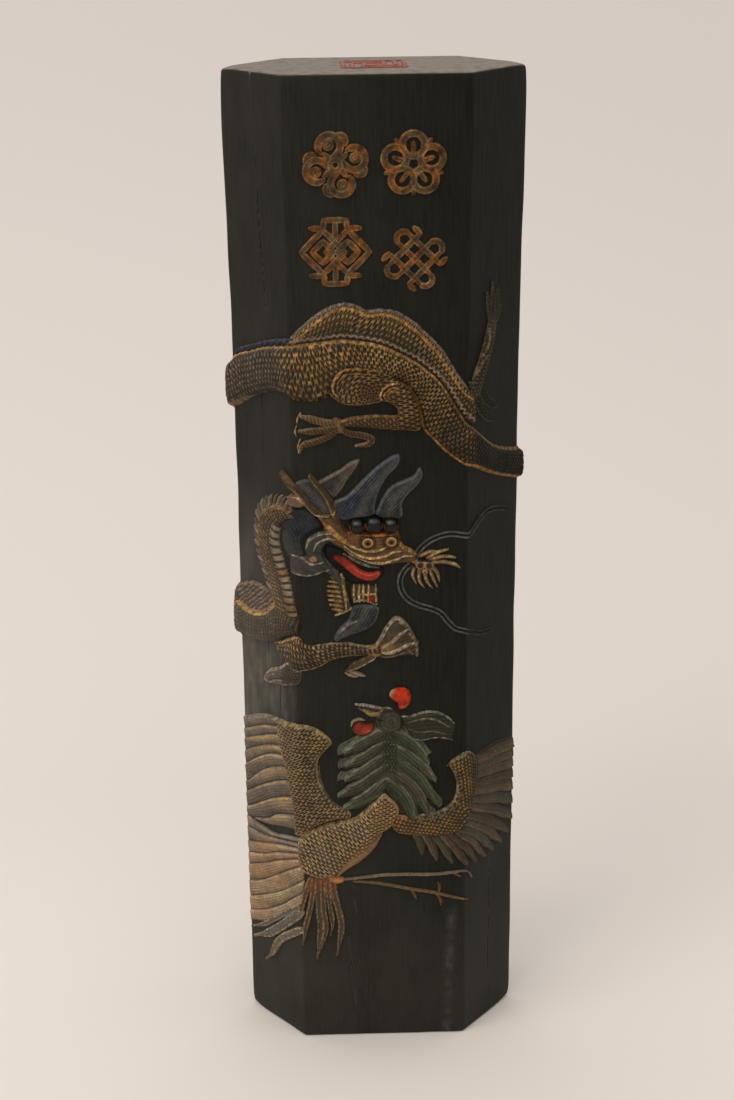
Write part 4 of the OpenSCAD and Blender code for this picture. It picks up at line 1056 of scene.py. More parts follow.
def dragon_hind_claw():
    s = Sheet(-24, 0.5, 179.5, 194, 0.18)
    pale = lin(150, 132, 104)
    toes(s, [[(-10.8, 187.2), (-13.5, 185.3), (-17.5, 183.7), (-20.4, 182.9), (-21.4, 181)]], 0.95, 0.95,
         OCHRE, pale)
    toes(s, [[(-10.8, 188), (-14, 187.1), (-18, 186.7), (-21.4, 186.8)]], 1.0, 1.1, OCHRE, pale)
    toes(s, [[(-10.8, 188.9), (-14.2, 189), (-18, 190), (-20.8, 190.9)]], 1.0, 1.15, GOLD, pale)
    toes(s, [[(-10.5, 187.4), (-8.2, 186), (-5, 185.4), (-2.2, 184.4), (-3, 182.9), (-6.2, 182.5)]], 0.9, 0.9,
         lin(150, 104, 70), lin(176, 150, 118))
    for a, b in (((-20.9, 191.9), (-21.9, 188.6)), ((-22, 188.4), (-22.2, 185.2)),
                 ((-21.2, 184.6), (-21.6, 180.6))):
        line(s, [a, ((a[0] + b[0]) / 2 - 0.4, (a[1] + b[1]) / 2), b], 0.3, lin(190, 160, 116), 0.3, 0.8,
             (0.6, 0.3))
    stroke(s, [(-11.6, 189.6, 0.9), (-10.6, 188.4, 1.5), (-10.4, 187, 1.0)], 1, 1.3, lin(128, 100, 62), 0.8)
    build(s, "dragon_hind_claw_relief", "worn_gold", ["dragon_hind_claw"])


def dragon_side_leg():
    s = Sheet(23.9, 42, 184, 227, 0.22)
    tone = lin(104, 88, 62)
    for a in ([(28, 193.4), (31, 189.6), (36, 185.8)], [(27, 195.6), (29.6, 191.4), (33.5, 186.8)],
              [(29, 196.8), (32.8, 192.6), (37.4, 189.4)]):
        plume(s, a, 1.4, 0.7, lin(74, 76, 58), lin(88, 88, 70), 0.9, 1.0, 0, 0.5, (0.8, 0.2), 0.2)
    stroke(s, [(24.6, 197.6, 1.8), (26.2, 196.4, 2.3), (28.2, 199.6, 2.2), (30.4, 203.4, 2.0),
               (32.2, 207, 1.9),
               (33.6, 210.8, 1.8), (34.3, 213.8, 1.5)], 2, 1.6, tone, 0.8)
    cross, run = turned(s, 150)
    carve(s, drops(cross, run, 1.1, 1.3, 0.3), (s.h > 0.5) * 1.0, 0.22, 0.2)
    for a, b in (((33, 217), (32, 222)), ((34.6, 218.6), (34.6, 224.8)), ((36.2, 217.4), (37, 222.4)),
                 ((36.6, 215), (38.4, 217.6))):
        toes(s, [[(34.2, 212.4), a, b]], 0.85, 0.9, lin(84, 74, 54), lin(86, 82, 66))
    s.tint(lin(112, 104, 70), np.exp(-((s.G - 33.8) ** 2 / 5 + (s.Z - 212.6) ** 2 / 6)) * (s.h > 0) * 0.6,
           0.6)
    for a in ([(26.2, 200.4), (28.4, 203), (31, 205.8)], [(29.4, 205.2), (31.6, 208.4), (32.6, 212.4)]):
        line(s, a, 0.35, lin(150, 128, 90), 0.25, 0.7)
    build(s, "dragon_side_leg_relief", "dragon_scales", ["dragon_side_leg"])


NECK_OUT = [(-23.9, 165.6), (-27.5, 165.6), (-31, 165), (-34.5, 163.4), (-37, 160.8), (-38, 157.6),
            (-38.3, 153.6),
            (-37.6, 149.6), (-35.6, 145.4), (-33.6, 141.2), (-32.4, 137.6), (-31.6, 134.6), (-30, 130)]
NECK_IN = [(-22.4, 162), (-24.9, 161.6), (-27.4, 159.8), (-29.1, 157), (-29.4, 153.2), (-28, 149.8),
           (-26.2, 146),
           (-24.6, 142), (-23.7, 137.4), (-22.9, 134.8), (-23, 130)]


def dragon_neck():
    s = Sheet(-42, -20.8, 128, 171, 0.21)
    G, Z = s.G, s.Z
    hairs = []
    out = curve(NECK_OUT)
    step = np.linspace(0, len(out) * 0.86, 22).astype(int)
    for k in step:
        p = out[k]
        q = out[min(k + 1, len(out) - 1)] - out[max(k - 1, 0)]
        q = q[:2] / np.hypot(*q[:2])
        outward = np.array([q[1], -q[0]])
        if outward @ (p[:2] - np.array([-31, 152])) < 0:
            outward = -outward
        tip = p[:2] + outward * 2.3 - q * 1.9
        hairs.append([tuple(p[:2] + q * 0.6 - outward * 0.4), tuple(p[:2] + outward * 1.3 - q * 0.5),
                      tuple(tip)])
    for n, h in enumerate(hairs):
        stroke(s, h, 0.55, 0.75, lin(150, 138, 124) if n % 2 else lin(120, 104, 84), 0.7, (0.9, 0.15))
    edge, v, along = between(s, NECK_OUT, NECK_IN, 14)
    tone = patchy(s, lin(150, 124, 88), lin(168, 132, 84), 8, 14.0)
    scaly(s, edge, v, along, 9.0, 1.75, 0.35, 1.22, 1.3, tone)
    s.tint(lin(84, 84, 66), smooth(fuzz(G, Z, 9, 15.0)) * 0.35 * (edge > 0), s.cover)
    inner = curve(NECK_IN)
    d, _, place, _ = track(G, Z, inner, 5)
    total = np.hypot(*np.diff(inner[:, :2], axis=0).T).sum()
    band = (edge > 0.1) & (d < 2.5) & (place > 0.2 * total)
    scute = smooth((stripes(place + 0.25 * d, 2.05, 0.6) - 0.25) / 0.35) * band
    s.h = np.where(band, s.h - 0.1 + 0.5 * scute * np.sqrt(np.clip(1 - (d / 2.5) ** 2, 0, 1)), s.h)
    warm = mix(lin(166, 150, 124), lin(150, 116, 70), smooth(fuzz(G, Z, 7, 16.0) + 0.3))
    s.tint(warm, scute * (0.55 + 0.4 * smooth(1.3 - d / 2.0)), 0.85)
    s.tint(BROWN, band * (1 - scute) * 0.8, 0.4)
    line(s, [(p[0] + (0.9 if p[0] < -33 else 0.2), p[1] - (0.9 if p[0] > -37 else 0.0))
             for p in NECK_OUT[:10]], 0.6,
         lin(170, 126, 90), 0.3, 0.85, (0.8, 0.3))
    build(s, "dragon_neck_relief", "dragon_scales", ["dragon_neck"])


def dragon_lower_coil():
    s = Sheet(-50.6, -21.6, 118.5, 142, 0.21)
    G, Z = s.G, s.Z
    upper = [(-51, 133.8), (-49, 133.2), (-45.7, 131.4), (-40.8, 130.8), (-35.9, 132), (-32.6, 134.4),
             (-29, 135.2),
             (-26, 135), (-22.4, 134.4)]
    lower = [(-51, 121.2), (-49.1, 121.4), (-46.4, 121.9), (-42.2, 121.8), (-38, 122.1), (-33.8, 123.2),
             (-30.3, 124.6),
             (-27.5, 126.4), (-24, 128.1), (-22.4, 129)]
    frill = [(-51, 137), (-49.1, 136.3), (-45, 138.3), (-40.1, 139.4), (-34.5, 138.6), (-32.2, 137)]
    e2, v2, _ = between(s, frill, [(-51, 133), (-49, 132.6), (-45.7, 130.8), (-40.8, 130.2), (-35.9, 131.6),
                                          (-32, 134)])
    cross, _ = turned(s, 38)
    barbs = stripes(cross + 0.3 * fuzz(G, Z, 3, 17.0),
                    1.15) * np.clip(0.8 + 0.45 * fuzz(G * 0.6, Z, 2.2, 17.5), 0, 1)
    h = np.where(e2 > 0, 1.0 * smooth(0.25 + e2 / 1.2) + 0.3 * v2 + 0.3 * (barbs - 0.4), e2 * FALL)
    s.lay(h, mix(lin(90, 76, 62), lin(168, 136, 110), barbs * 0.9), np.clip(0.25 + 0.65 * barbs, 0, 1))
    edge, v, along = between(s, upper, lower)
    tone = patchy(s, lin(114, 99, 78), lin(134, 112, 80), 8, 18.0)
    # Pale haze on the lower left of the coil: part dust, part painted sheen.
    sheen_haze = smooth((125.5 - Z) / 3) * smooth((-28 - G) / 4)
    scaly(s, edge, v, along, 11.5, 2.15, -0.5, 1.28, 1.35, tone)
    s.tint(lin(112, 104, 92), sheen_haze * 0.8 * (edge > 0), 0.5)
    line(s, [(-50.6, 133.2), (-49, 132.6), (-45.7, 130.9), (-40.8, 130.4), (-35.9, 131.8), (-32.6, 134.2),
             (-32, 136)], 0.85, lin(206, 164, 106), 0.4, 0.95, (1, 0.3))
    line(s, [(-50.6, 136.6), (-49.1, 136.2), (-45, 138.1), (-40.1, 139.2), (-34.5, 138.4)], 0.45, PINK_TAN,
         0.2, 0.7,
         (1, 0.3))
    build(s, "dragon_lower_coil_relief", "dragon_scales", ["dragon_lower_coil"])


def dragon_foreleg():
    s = Sheet(-40, 1.6, 108, 130, 0.21)
    G, _ = s.G, s.Z
    foot = [(-22.6, 121), (-27, 119.4), (-29.5, 117.4), (-32, 116), (-34.8, 114.9), (-37, 113), (-37.8, 111),
            (-36.9, 109.8), (-34, 110.3), (-30, 111.2), (-26, 112.5), (-22.6, 114.4)]
    e = mass(s, foot, 0.75, patchy(s, lin(104, 94, 80), lin(130, 112, 92), 5, 92.0), 0.55, 1.0, 0.25)
    cross, run = turned(s, 30)
    carve(s, drops(cross, run, 0.95, 1.1, 0.24), smooth((e - 0.1) / 0.6) * smooth((G + 30.5) / 2), 0.24, 0.3)
    pale = lin(186, 172, 146)
    for path, half, colour in (
            ([(-24, 120.2), (-27, 119.1), (-29.5, 117.1), (-32, 115.7), (-34.7, 114.6), (-36.8, 112.8),
              (-37.3, 111.2)],
             0.62, pale),
            ([(-37.2, 111), (-34.4, 111.2), (-31.6, 112.6), (-29, 113.2)], 0.4, lin(156, 142, 122)),
            ([(-36, 112.2), (-33, 113.9), (-30, 114.8)], 0.34, lin(150, 134, 108)),
            ([(-35.4, 111.4), (-32.4, 112.9), (-29, 114)], 0.26, lin(84, 76, 62)),
            ([(-30, 111.4), (-26.4, 112.7), (-23.4, 114)], 0.3, lin(140, 126, 108))):
        line(s, path, half, colour, 0.4, 0.85, (0.6, 0.5))
    upper = [(-31, 123.6), (-28, 126), (-26.1, 127), (-23.5, 127.8), (-21.4, 126), (-18.4, 125.2),
             (-13.5, 125.7),
             (-9.3, 125.7), (-6.5, 125), (-3, 124.7), (0.6, 125.3)]
    lower = [(-31, 121.6), (-27.5, 119.3), (-23.5, 117.9), (-20.5, 117.9), (-17, 119), (-14.2, 120.7),
             (-10, 121.8),
             (-4.4, 122), (0.6, 122.1)]
    edge, v, along = between(s, upper, lower)
    tone = patchy(s, lin(150, 124, 90), lin(192, 152, 98), 7, 19.0)
    scaly(s, edge, v, along, 6.5, 1.5, 0.55, 1.22, 1.2, tone, wide=0.34)
    line(s, [(-33, 123.4), (-29.5, 124.6), (-26.1, 126.6), (-23.5, 127.8), (-21.9, 126.8)], 0.55, PALE_GOLD,
         0.3, 0.9,
         (0.4, 0.4))
    line(s, lower[1:], 0.32, lin(176, 150, 112), 0.2, 0.8, (0.5, 0.7))
    line(s, upper[5:], 0.3, lin(176, 150, 112), 0.2, 0.7, (0.5, 0.7))
    build(s, "dragon_foreleg_relief", "dragon_scales", ["dragon_foreleg"])


def dragon_fore_claw():
    s = Sheet(-11.6, 12, 114, 135.5, 0.17)
    pale = lin(178, 160, 132)
    web = [(-2, 124.2), (-0.6, 126.4), (0.9, 129.4), (2.4, 131.9), (4.2, 133.4), (5.6, 132.9), (7.4, 131.1),
           (8.5, 129.3),
           (9.6, 126.7), (10.4, 125.6), (10.3, 121.2), (8.8, 121.7), (5.2, 121.5), (2, 120.9), (-0.4, 121.2),
           (-2, 122)]
    e = mass(s, web, 0.65, patchy(s, lin(92, 80, 64), lin(116, 92, 70), 4, 90.0), 0.5, 0.9, 0.2)
    hollow = np.exp(-(((s.G - 6.2) / 2.4) ** 2 + ((s.Z - 126.2 - 0.5 * (s.G - 6)) / 0.9) ** 2))
    s.h = s.h - 0.35 * hollow * (e > 0)
    s.tint(lin(58, 60, 44), hollow * 0.8 * (e > 0), 0.6)
    s.tint(lin(58, 54, 44), bell(s.Z - 122.2 - 0.22 * (s.G - 2), 0.55) * (s.G > 0) * (e > 0) * 0.7, 0.6)
    for path, half, colour in (
            ([(-1.6, 124.6), (0, 127), (1.4, 129.8), (2.8, 131.8), (4.2, 133), (5.4, 132.5), (7.2, 130.8),
              (8, 129.4)],
             0.62, pale),
            ([(4.8, 131.8), (6.2, 131), (7.6, 129.9)], 0.34, lin(150, 128, 98)),
            ([(8, 129.6), (8.9, 127.6), (9.5, 126)], 0.42, lin(150, 130, 100)),
            ([(0.2, 124.2), (3, 125.9), (5, 127.8), (7.4, 129.7)], 0.62, lin(168, 148, 118)),
            ([(7.8, 128.4), (8.4, 127.6), (8.8, 126.8)], 0.42, lin(160, 148, 126)),
            ([(-0.6, 123.2), (1.6, 122.7), (3.4, 122.9), (5.4, 123.9), (7.8, 125.1), (10.1, 125.6)], 0.66,
             pale),
            ([(0.4, 121.5), (3, 121.5), (5.4, 122.3), (8, 123.1), (9.4, 123.8)], 0.32, lin(120, 108, 86)),
            ([(7.4, 123.6), (8.4, 122.6), (8.8, 121.8)], 0.3, lin(136, 124, 100)),
            ([(9.8, 125), (10, 123.2), (9.9, 121.4)], 0.5, lin(158, 144, 118))):
        line(s, path, half, colour, 0.5, 0.9, (0.8, 0.5))
    ribbon(s, [(-1.8, 122), (-5, 120.1), (-7.6, 118.8), (-9.8, 117.4)], 1.2, 0.9, lin(92, 80, 50),
           (lin(110, 92, 60), pale),
           0.6, None, 0.42)
    for path in ([(-9.8, 116.8), (-8.4, 116), (-6.6, 115.6)], [(-8.8, 117.4), (-6.6, 116.4), (-4.6, 115.7)]):
        stroke(s, path, 0.55, 0.8, lin(158, 138, 114), 0.75, (0.6, 0.3))
    s.tint(lin(196, 158, 92), np.exp(-((s.G - 1.6) ** 2 / 5 + (s.Z - 124.4) ** 2 / 1.4)) * (s.h > 0) * 0.6,
           0.8)
    stroke(s, [(-3.2, 123.3, 1.4), (-1.6, 123.2, 1.9), (0.2, 123.6, 1.2)], 1, 1.3, lin(150, 118, 72), 0.75)
    build(s, "dragon_fore_claw_relief", "worn_gold", ["dragon_fore_claw"])


def dragon_rear_body():
    s = Sheet(49.6, 148.4, 118, 178, 0.3)
    upper = [(48.6, 175.3), (56, 173.6), (65, 171.4), (74.7, 168.6), (85, 165), (95, 160.4), (105, 155.4),
             (114, 150.6), (121.7, 146.8), (130, 142.6), (139, 138.8), (149, 135.8)]
    lower = [(48.6, 166.6), (56, 163.6), (65, 160), (74.7, 156), (85, 151), (95, 146), (105, 140.5),
             (114, 135.4), (121.7, 131.2), (130, 126.6), (139, 123.2), (149, 121.2)]
    edge, v, along = between(s, upper, lower, 18)
    tone = patchy(s, OCHRE, GOLD, 12, 20.0)
    near = smooth((80 - s.G) / 30)[..., None]
    far = smooth((s.G - 118) / 30)[..., None]
    tone = mix(mix(tone, lin(84, 70, 50), near[..., 0]), lin(122, 103, 78), far[..., 0])
    scaly(s, edge, v, along, 13.5, 1.95, 0.0, 1.5, 1.5, tone)
    line(s, upper, 0.7, lin(178, 142, 92), 0.35, 0.85, (1, 1))
    line(s, lower, 0.55, GOLD, 0.25, 0.75, (1, 1))
    build(s, "dragon_rear_body_relief", "dragon_scales", ["dragon_rear_body"])


def dragon_tail():
    s = Sheet(-121, -48.4, 182, 232, 0.28)
    upper = [(-110, 215.6), (-106, 211.4), (-100, 207.2), (-92, 203.2), (-83, 200.6), (-74.7, 199.2),
             (-66, 198.8),
             (-57, 199.4), (-49.1, 201.5), (-47, 203)]
    lower = [(-110.8, 212.8), (-106, 205.2), (-100, 199.4), (-92, 193.8), (-83, 189.6), (-74.7, 187.2),
             (-66, 186.2),
             (-57, 186.6), (-49.1, 188.4), (-47, 189.2)]
    for k, long in enumerate((8.4, 10.2, 11.2, 10.2, 8.6)):
        a = math.radians(92 + 20 * k)
        tip = (-109.6 + long * math.cos(a), 213.8 + long * math.sin(a))
        mid = (-109.6 + 0.5 * long * math.cos(a - 0.2), 213.8 + 0.5 * long * math.sin(a - 0.2))
        plume(s, [(-109, 213), mid, tip], 1.35, 0.9, lin(58, 66, 92) if k % 2 else lin(72, 78, 92),
              lin(140, 142, 146),
              0.8, 1.2, 0, 0.8, (0.6, 0.15), 0.5)
    edge, v, along = between(s, upper, lower, 18)
    tone = mix(patchy(s, OCHRE, GOLD, 12, 21.0), lin(140, 116, 92), smooth((s.G + 78) / 28))
    scaly(s, edge, v, along, 12.5, 1.95, 0.0, 1.4, 1.4, tone)
    line(s, upper, 0.7, PALE_GOLD, 0.35, 0.9, (0.4, 1))
    line(s, lower, 0.5, GOLD, 0.25, 0.7, (0.4, 1))
    build(s, "dragon_tail_relief", "dragon_scales", ["dragon_tail"])


# ---------------------------------------------------------------- the dragon's head

def dragon_head():
    s = Sheet(-25, 17, 133, 164.5, 0.17)
    ruff = [(-24.4, 152.4), (-21, 151.6), (-18.4, 152.3), (-15.4, 150.6), (-14.4, 148.4), (-16.8, 146.2),
            (-20.6, 145.5),
            (-24.4, 147)]
    mass(s, ruff, 1.0, patchy(s, lin(82, 76, 70), lin(104, 88, 78), 5, 93.0), 0.55, 1.3, 0.3)
    lips = [(-20.6, 154), (-19.6, 156.6), (-16.6, 158.4), (-13, 158.6), (-10, 157), (-11.6, 155.6),
            (-14.2, 155.4),
            (-15.6, 153.6), (-15.2, 151.2), (-12.8, 148), (-10.6, 145.6), (-9.2, 141.6), (-8.2, 136.6),
            (-10.2, 135.6),
            (-11, 140), (-12.4, 144.4), (-15.8, 147.6), (-18.4, 150.6), (-20.2, 152)]
    mass(s, lips, 1.9, lin(72, 74, 66), 0.55, 0.9, 0.2)
    throat = [(-15, 154.6), (-10, 153), (-6, 150.4), (-1, 149), (1, 147), (0, 144.6), (-5, 143.4),
              (-8.4, 143.6),
              (-10.8, 146), (-14.4, 150)]
    mass(s, throat, 0.35, BLACK, 0.8, 0.8, 0.0)
    muzzle = [(-15.8, 162.6), (-13.4, 163), (-10.6, 161), (-8.6, 158.6), (-4.6, 158.4), (0.4, 158.4),
              (4.6, 158.2),
              (4.9, 156), (6.2, 154), (8.6, 152.8), (10, 151.6), (9.6, 149.8), (6.8, 149.4), (3.4, 149.2),
              (0, 148.6),
              (-3.6, 149.4), (-6.8, 151.2), (-9.6, 153.2), (-12.6, 154.8), (-15, 157), (-15.4, 159.6)]
    em = mass(s, muzzle, 2.0, patchy(s, lin(98, 74, 46), lin(130, 90, 50), 4, 28.0), 0.85, 1.0, 0.5)
    cross, _ = turned(s, 8)
    rub = stripes(cross + 0.4 * fuzz(s.G, s.Z, 4, 27.0), 0.9)
    s.h = np.where(em > 0, s.h + 0.12 * (rub - 0.5), s.h)
    s.tint(lin(66, 46, 28), (1 - rub) * (em > 0) * 0.4, 0.8)
    line(s, [(-16.2, 162.2), (-14, 160), (-11.8, 157.8), (-9.4, 156), (-8, 154.6)], 0.9, lin(190, 142, 82),
         0.5, 0.9,
         (0.6, 0.5))
    ridges = (([(-9.4, 156), (-6.8, 154.2), (-3.6, 153.3), (-0.4, 153.5), (1.6, 154.4)], 0.42,
               lin(206, 170, 120)),
              ([(-9.8, 154.8), (-6.6, 152.3), (-3, 151.2), (0.8, 151.6), (3.6, 152.9), (5.4, 153)], 0.46,
               PALE_GOLD),
              ([(-10.2, 153.6), (-7, 151.2), (-3.2, 149.9), (0.8, 149.7), (4.2, 150.6), (6.4, 151.6),
                (8.6, 151.6)],
               0.46, lin(206, 176, 132)),
              ([(-3.4, 149.3), (0.6, 148.9), (4.6, 149.3), (8.4, 149.6)], 0.36, lin(176, 150, 116)),
              ([(4.7, 158), (4.9, 155.9), (6.2, 153.9), (8.4, 152.7), (10, 151.5)], 0.42, GOLD),
              ([(-8.6, 158.3), (-4.4, 157.9), (0.4, 157.7), (4.5, 157.9)], 0.4, lin(190, 120, 66)))
    for path, half, colour in ridges:
        line(s, path, half, colour, 0.45, 0.95)
    for path in ([(-9, 155.2), (-6.6, 153.2), (-3.2, 152.3), (0.6, 152.6), (3, 153.8)],
                 [(-9.8, 154), (-6.8, 151.8), (-3.2, 150.6), (1, 150.7), (4.4, 151.8), (7, 152.4)],
                 [(-8.4, 152.4), (-4.4, 150), (0.6, 149.4), (5, 150), (8.8, 150.6)],
                 [(-13.6, 161.2), (-11, 158.8), (-8.8, 157.2), (-6, 157)],
                 [(-15.2, 160.4), (-12.8, 158), (-10.6, 156.4)]):
        line(s, path, 0.3, lin(34, 24, 16), 0.0, 0.85)
    for g in (-3.5, 2.9):
        ring_d = np.hypot(s.G - g, s.Z - 155.9)
        s.tint(lin(40, 28, 18), bell(ring_d - 2.1, 0.3) * 0.8, 0.9)
    for path, half, colour in (
            ([(-20.3, 154), (-19.4, 156.4), (-16.6, 158.1), (-13.4, 158.4)], 0.34, lin(160, 150, 132)),
            ([(-18.2, 153.4), (-17.2, 155.6), (-14.4, 156.9), (-12, 156.6)], 0.36, lin(176, 164, 142)),
            ([(-15.4, 151.2), (-13, 148), (-10.8, 145.4), (-9.6, 141.4), (-8.7, 137)], 0.3,
             lin(116, 112, 98)),
            ([(-10.4, 145.6), (-9.9, 141), (-9.5, 136.4)], 0.42, lin(196, 158, 88)),
            ([(-24.4, 152.3), (-21.4, 151.3), (-18.8, 149.4), (-15.6, 150.2)], 0.4, lin(168, 162, 150)),
            ([(-24.4, 147.1), (-20.6, 145.9), (-16.8, 146.5), (-14.2, 148)], 0.42, lin(176, 168, 152)),
            ([(-10, 152), (-7, 150.1), (-3.6, 148.5), (-0.6, 147.8)], 0.55, lin(130, 128, 112))):
        line(s, path, half, colour, 0.3, 0.85)
    for g, z, r, colour in ((-18.4, 151, 1.25, lin(158, 122, 88)),):
        d = np.hypot(s.G - g, s.Z - z) / r
        s.h = np.where(d < 1, np.maximum(s.h, 1.0) + 0.5 * np.sqrt(np.maximum(1 - d * d, 0)), s.h)
        s.tint(colour, smooth((1 - d) * 3), 0.95)
    for g, z, r in ((10.9, 148.6, 1.45), (13.2, 148.5, 1.45), (12.1, 146.6, 0.9)):
        d = np.hypot(s.G - g, s.Z - z)
        s.lay(np.where(d < r, 0.7 + 1.2 * np.sqrt(np.maximum(1 - (d / r) ** 2, 0)), -(d - r) * FALL),
              lin(52, 46, 38), 0.85,
              where=d < r + 0.8)
        s.tint(lin(186, 140, 90), bell(d - r + 0.25, 0.3) * (s.Z < z + 0.9), 0.95)
    stroke(s, [(8.4, 150.2, 0.9), (9.6, 149.4, 0.9), (10.6, 148.8, 0.6)], 1, 1.3, lin(150, 118, 88), 0.85)
    build(s, "dragon_head_relief", "worn_gold", ["dragon_head"])


def dragon_horns():
    s = Sheet(-29, -9.5, 158.5, 177, 0.17)
    tone = patchy(s, lin(74, 60, 44), lin(112, 84, 52), 3.5, 94.0)
    for path in ([(-11.8, 160.2, 1.2), (-14, 162, 1.05), (-17, 163.8, 1.0), (-19.2, 166, 1.0),
                  (-20.9, 168.6, 1.0),
                  (-23.5, 171.6, 0.95), (-25.8, 173.2, 0.8), (-27.5, 174.6, 0.5)],
                 [(-11.6, 161, 1.1), (-12.7, 164.2, 0.95), (-13.8, 167.4, 0.95), (-15.4, 170, 0.95),
                  (-17.2, 172.2, 0.8),
                  (-18.7, 174.2, 0.55)]):
        d, side, _, w = stroke(s, path, 1, 1.6, tone, 0.85)
        x = np.clip(d / w, 0, 1) * side
        on = (d < w) & (s.h > 0.3)
        s.tint(lin(62, 48, 36), bell(x + 0.25, 0.3) * on * 0.75, 0.7)
        s.tint(lin(190, 160, 112), bell(x - 0.72, 0.22) * on
               * np.clip(0.75 + 0.5 * fuzz(s.G, s.Z, 4, 95.0), 0, 1), 0.9)
        s.tint(lin(130, 104, 70), bell(x + 0.9, 0.2) * on * 0.7, 0.8)
    line(s, [(-18.2, 163.6), (-15.6, 163.2), (-13, 163.4), (-12, 165)], 0.4, lin(190, 164, 108), 0.3, 0.85)
    ear = [(-24.6, 168.9), (-22.4, 169.2), (-20.6, 167.9), (-20.2, 166.2), (-22, 165.4), (-24.6, 166.2)]
    mass(s, ear, 1.2, lin(132, 104, 84), 0.75, 0.8, 0.3)
    line(s, [(-24.4, 168.4), (-22.2, 168.4), (-20.9, 166.8)], 0.35, lin(196, 164, 132), 0.25, 0.9)
    build(s, "dragon_horns_relief", "worn_gold", ["dragon_horns"])


def dragon_brow_beads():
    s = Sheet(-10, 7, 156, 164, 0.15)
    for g, z, rx, rz in ((-6.3, 160.1, 2.1, 2.2), (-1.7, 160.5, 2.4, 2.4), (2.9, 160.2, 2.0, 2.2)):
        d = np.hypot((s.G - g) / rx, (s.Z - z) / rz)
        s.lay(np.where(d < 1, 1.2 + 2.1 * np.sqrt(np.maximum(1 - d * d, 0)), -(d - 1) * 3), lin(12, 12, 12),
              0.97,
              where=d < 1.4)
        cup = bell(d - 0.97, 0.1) * smooth((z + 0.8 - s.Z) / 1.2)
        s.tint(lin(168, 96, 54), cup, 0.9)
        # Painted highlight: a pale grey-green spot near the top of each bead.
        s.tint(lin(112, 118, 104), np.exp(-(((s.G - g + 0.3) / 1.0) ** 2 + ((s.Z - z - 1.35) / 0.45) ** 2))
               * 0.5 * (d < 1),
               0.7)
    build(s, "dragon_brow_beads_relief", "black_lacquer", ["dragon_brow_beads"])


def dragon_eyes():
    s = Sheet(-6.6, 6.2, 152.4, 159, 0.13)
    for g, z, r in ((-3.5, 155.8, 1.75), (2.9, 156, 1.7)):
        d = np.hypot((s.G - g), (s.Z - z) * 1.12)
        s.lay(np.where(d < r, 2.35 + 0.75 * np.sqrt(np.maximum(1 - (d / r) ** 2, 0)), 2.3 - (d - r) * 2.4),
              lin(96, 66, 38), 0.9, where=d < r + 1.2)
        s.tint(lin(196, 158, 104), bell(d - r * 0.72, 0.2), 0.95)
        s.tint(lin(44, 30, 20), bell(d - r * 1.02, 0.2) * 0.8, 0.9)
        s.tint(lin(120, 84, 46), bell(d - r * 0.46, 0.18) * 0.8, 0.9)
        s.tint(lin(22, 18, 14), smooth((0.62 - d) / 0.2), 1.0)
        s.h = np.where(d < 0.72, s.h + 0.12, s.h)
    build(s, "dragon_eyes_relief", "worn_gold", ["dragon_eyes"])


def dragon_tongue():
    s = Sheet(-15, 2.2, 142, 153.5, 0.17)
    path = [(-12, 151, 0.9), (-10.2, 149.9, 1.25), (-8.2, 148.2, 1.3), (-6.4, 146.6, 1.3), (-4.2, 145.5, 1.3),
            (-2.2, 145.4, 1.25), (-0.7, 146.2, 0.8)]
    d, side, _, w = stroke(s, path, 1, 1.7, lin(158, 56, 40), 0.95)
    x = np.clip(d / w, 0, 1)
    on = (d < w) & (s.h > 0)
    s.h = np.where(on, s.h - 0.28 * bell(d, 0.3), s.h)
    s.tint(DARK_RED, bell(d, 0.26) * on * 0.6)
    s.tint(lin(206, 84, 60), bell(x * side - 0.55, 0.25) * on * 0.6 * smooth((s.G + 9) / 3))
    s.tint(lin(84, 34, 28), smooth((-8.5 - s.G) / 3) * on * 0.6)
    build(s, "dragon_tongue_relief", "red_pigment", ["dragon_tongue"])


def dragon_teeth():
    s = Sheet(-9, 0.6, 135.4, 144.4, 0.15)
    mass(s, [(-7.8, 142.6), (-1.2, 142.2), (-0.8, 139.6), (-1, 137), (-3.6, 137.8), (-7.8, 137.8)], 0.5,
         lin(86, 70, 46),
         0.6, 0.6, 0.1)
    for g in (-7.3, -5.9, -4.7, -3.3, -1.3):
        line(s, [(g, 142.8), (g - 0.1, 140.4), (g, 138)], 0.38, lin(206, 176, 124), 0.5, 0.95, (0.6, 0.8))
    line(s, [(-7.6, 137.9), (-5.4, 138.5), (-3.6, 138), (-1.6, 137), (-0.9, 137.2)], 0.42,
         lin(196, 168, 122), 0.45, 0.95)
    line(s, [(-5.4, 140.2), (-3.4, 140), (-1.2, 140.3)], 0.38, lin(206, 172, 112), 0.45, 0.95)
    spot = np.maximum(np.abs(s.G + 2.7), np.abs(s.Z - 138.8))
    s.h = np.where(spot < 0.75, s.h + 0.25, s.h)
    s.tint(lin(170, 44, 34), smooth((0.8 - spot) / 0.15), 0.95)
    build(s, "dragon_teeth_relief", "worn_gold", ["dragon_teeth"])


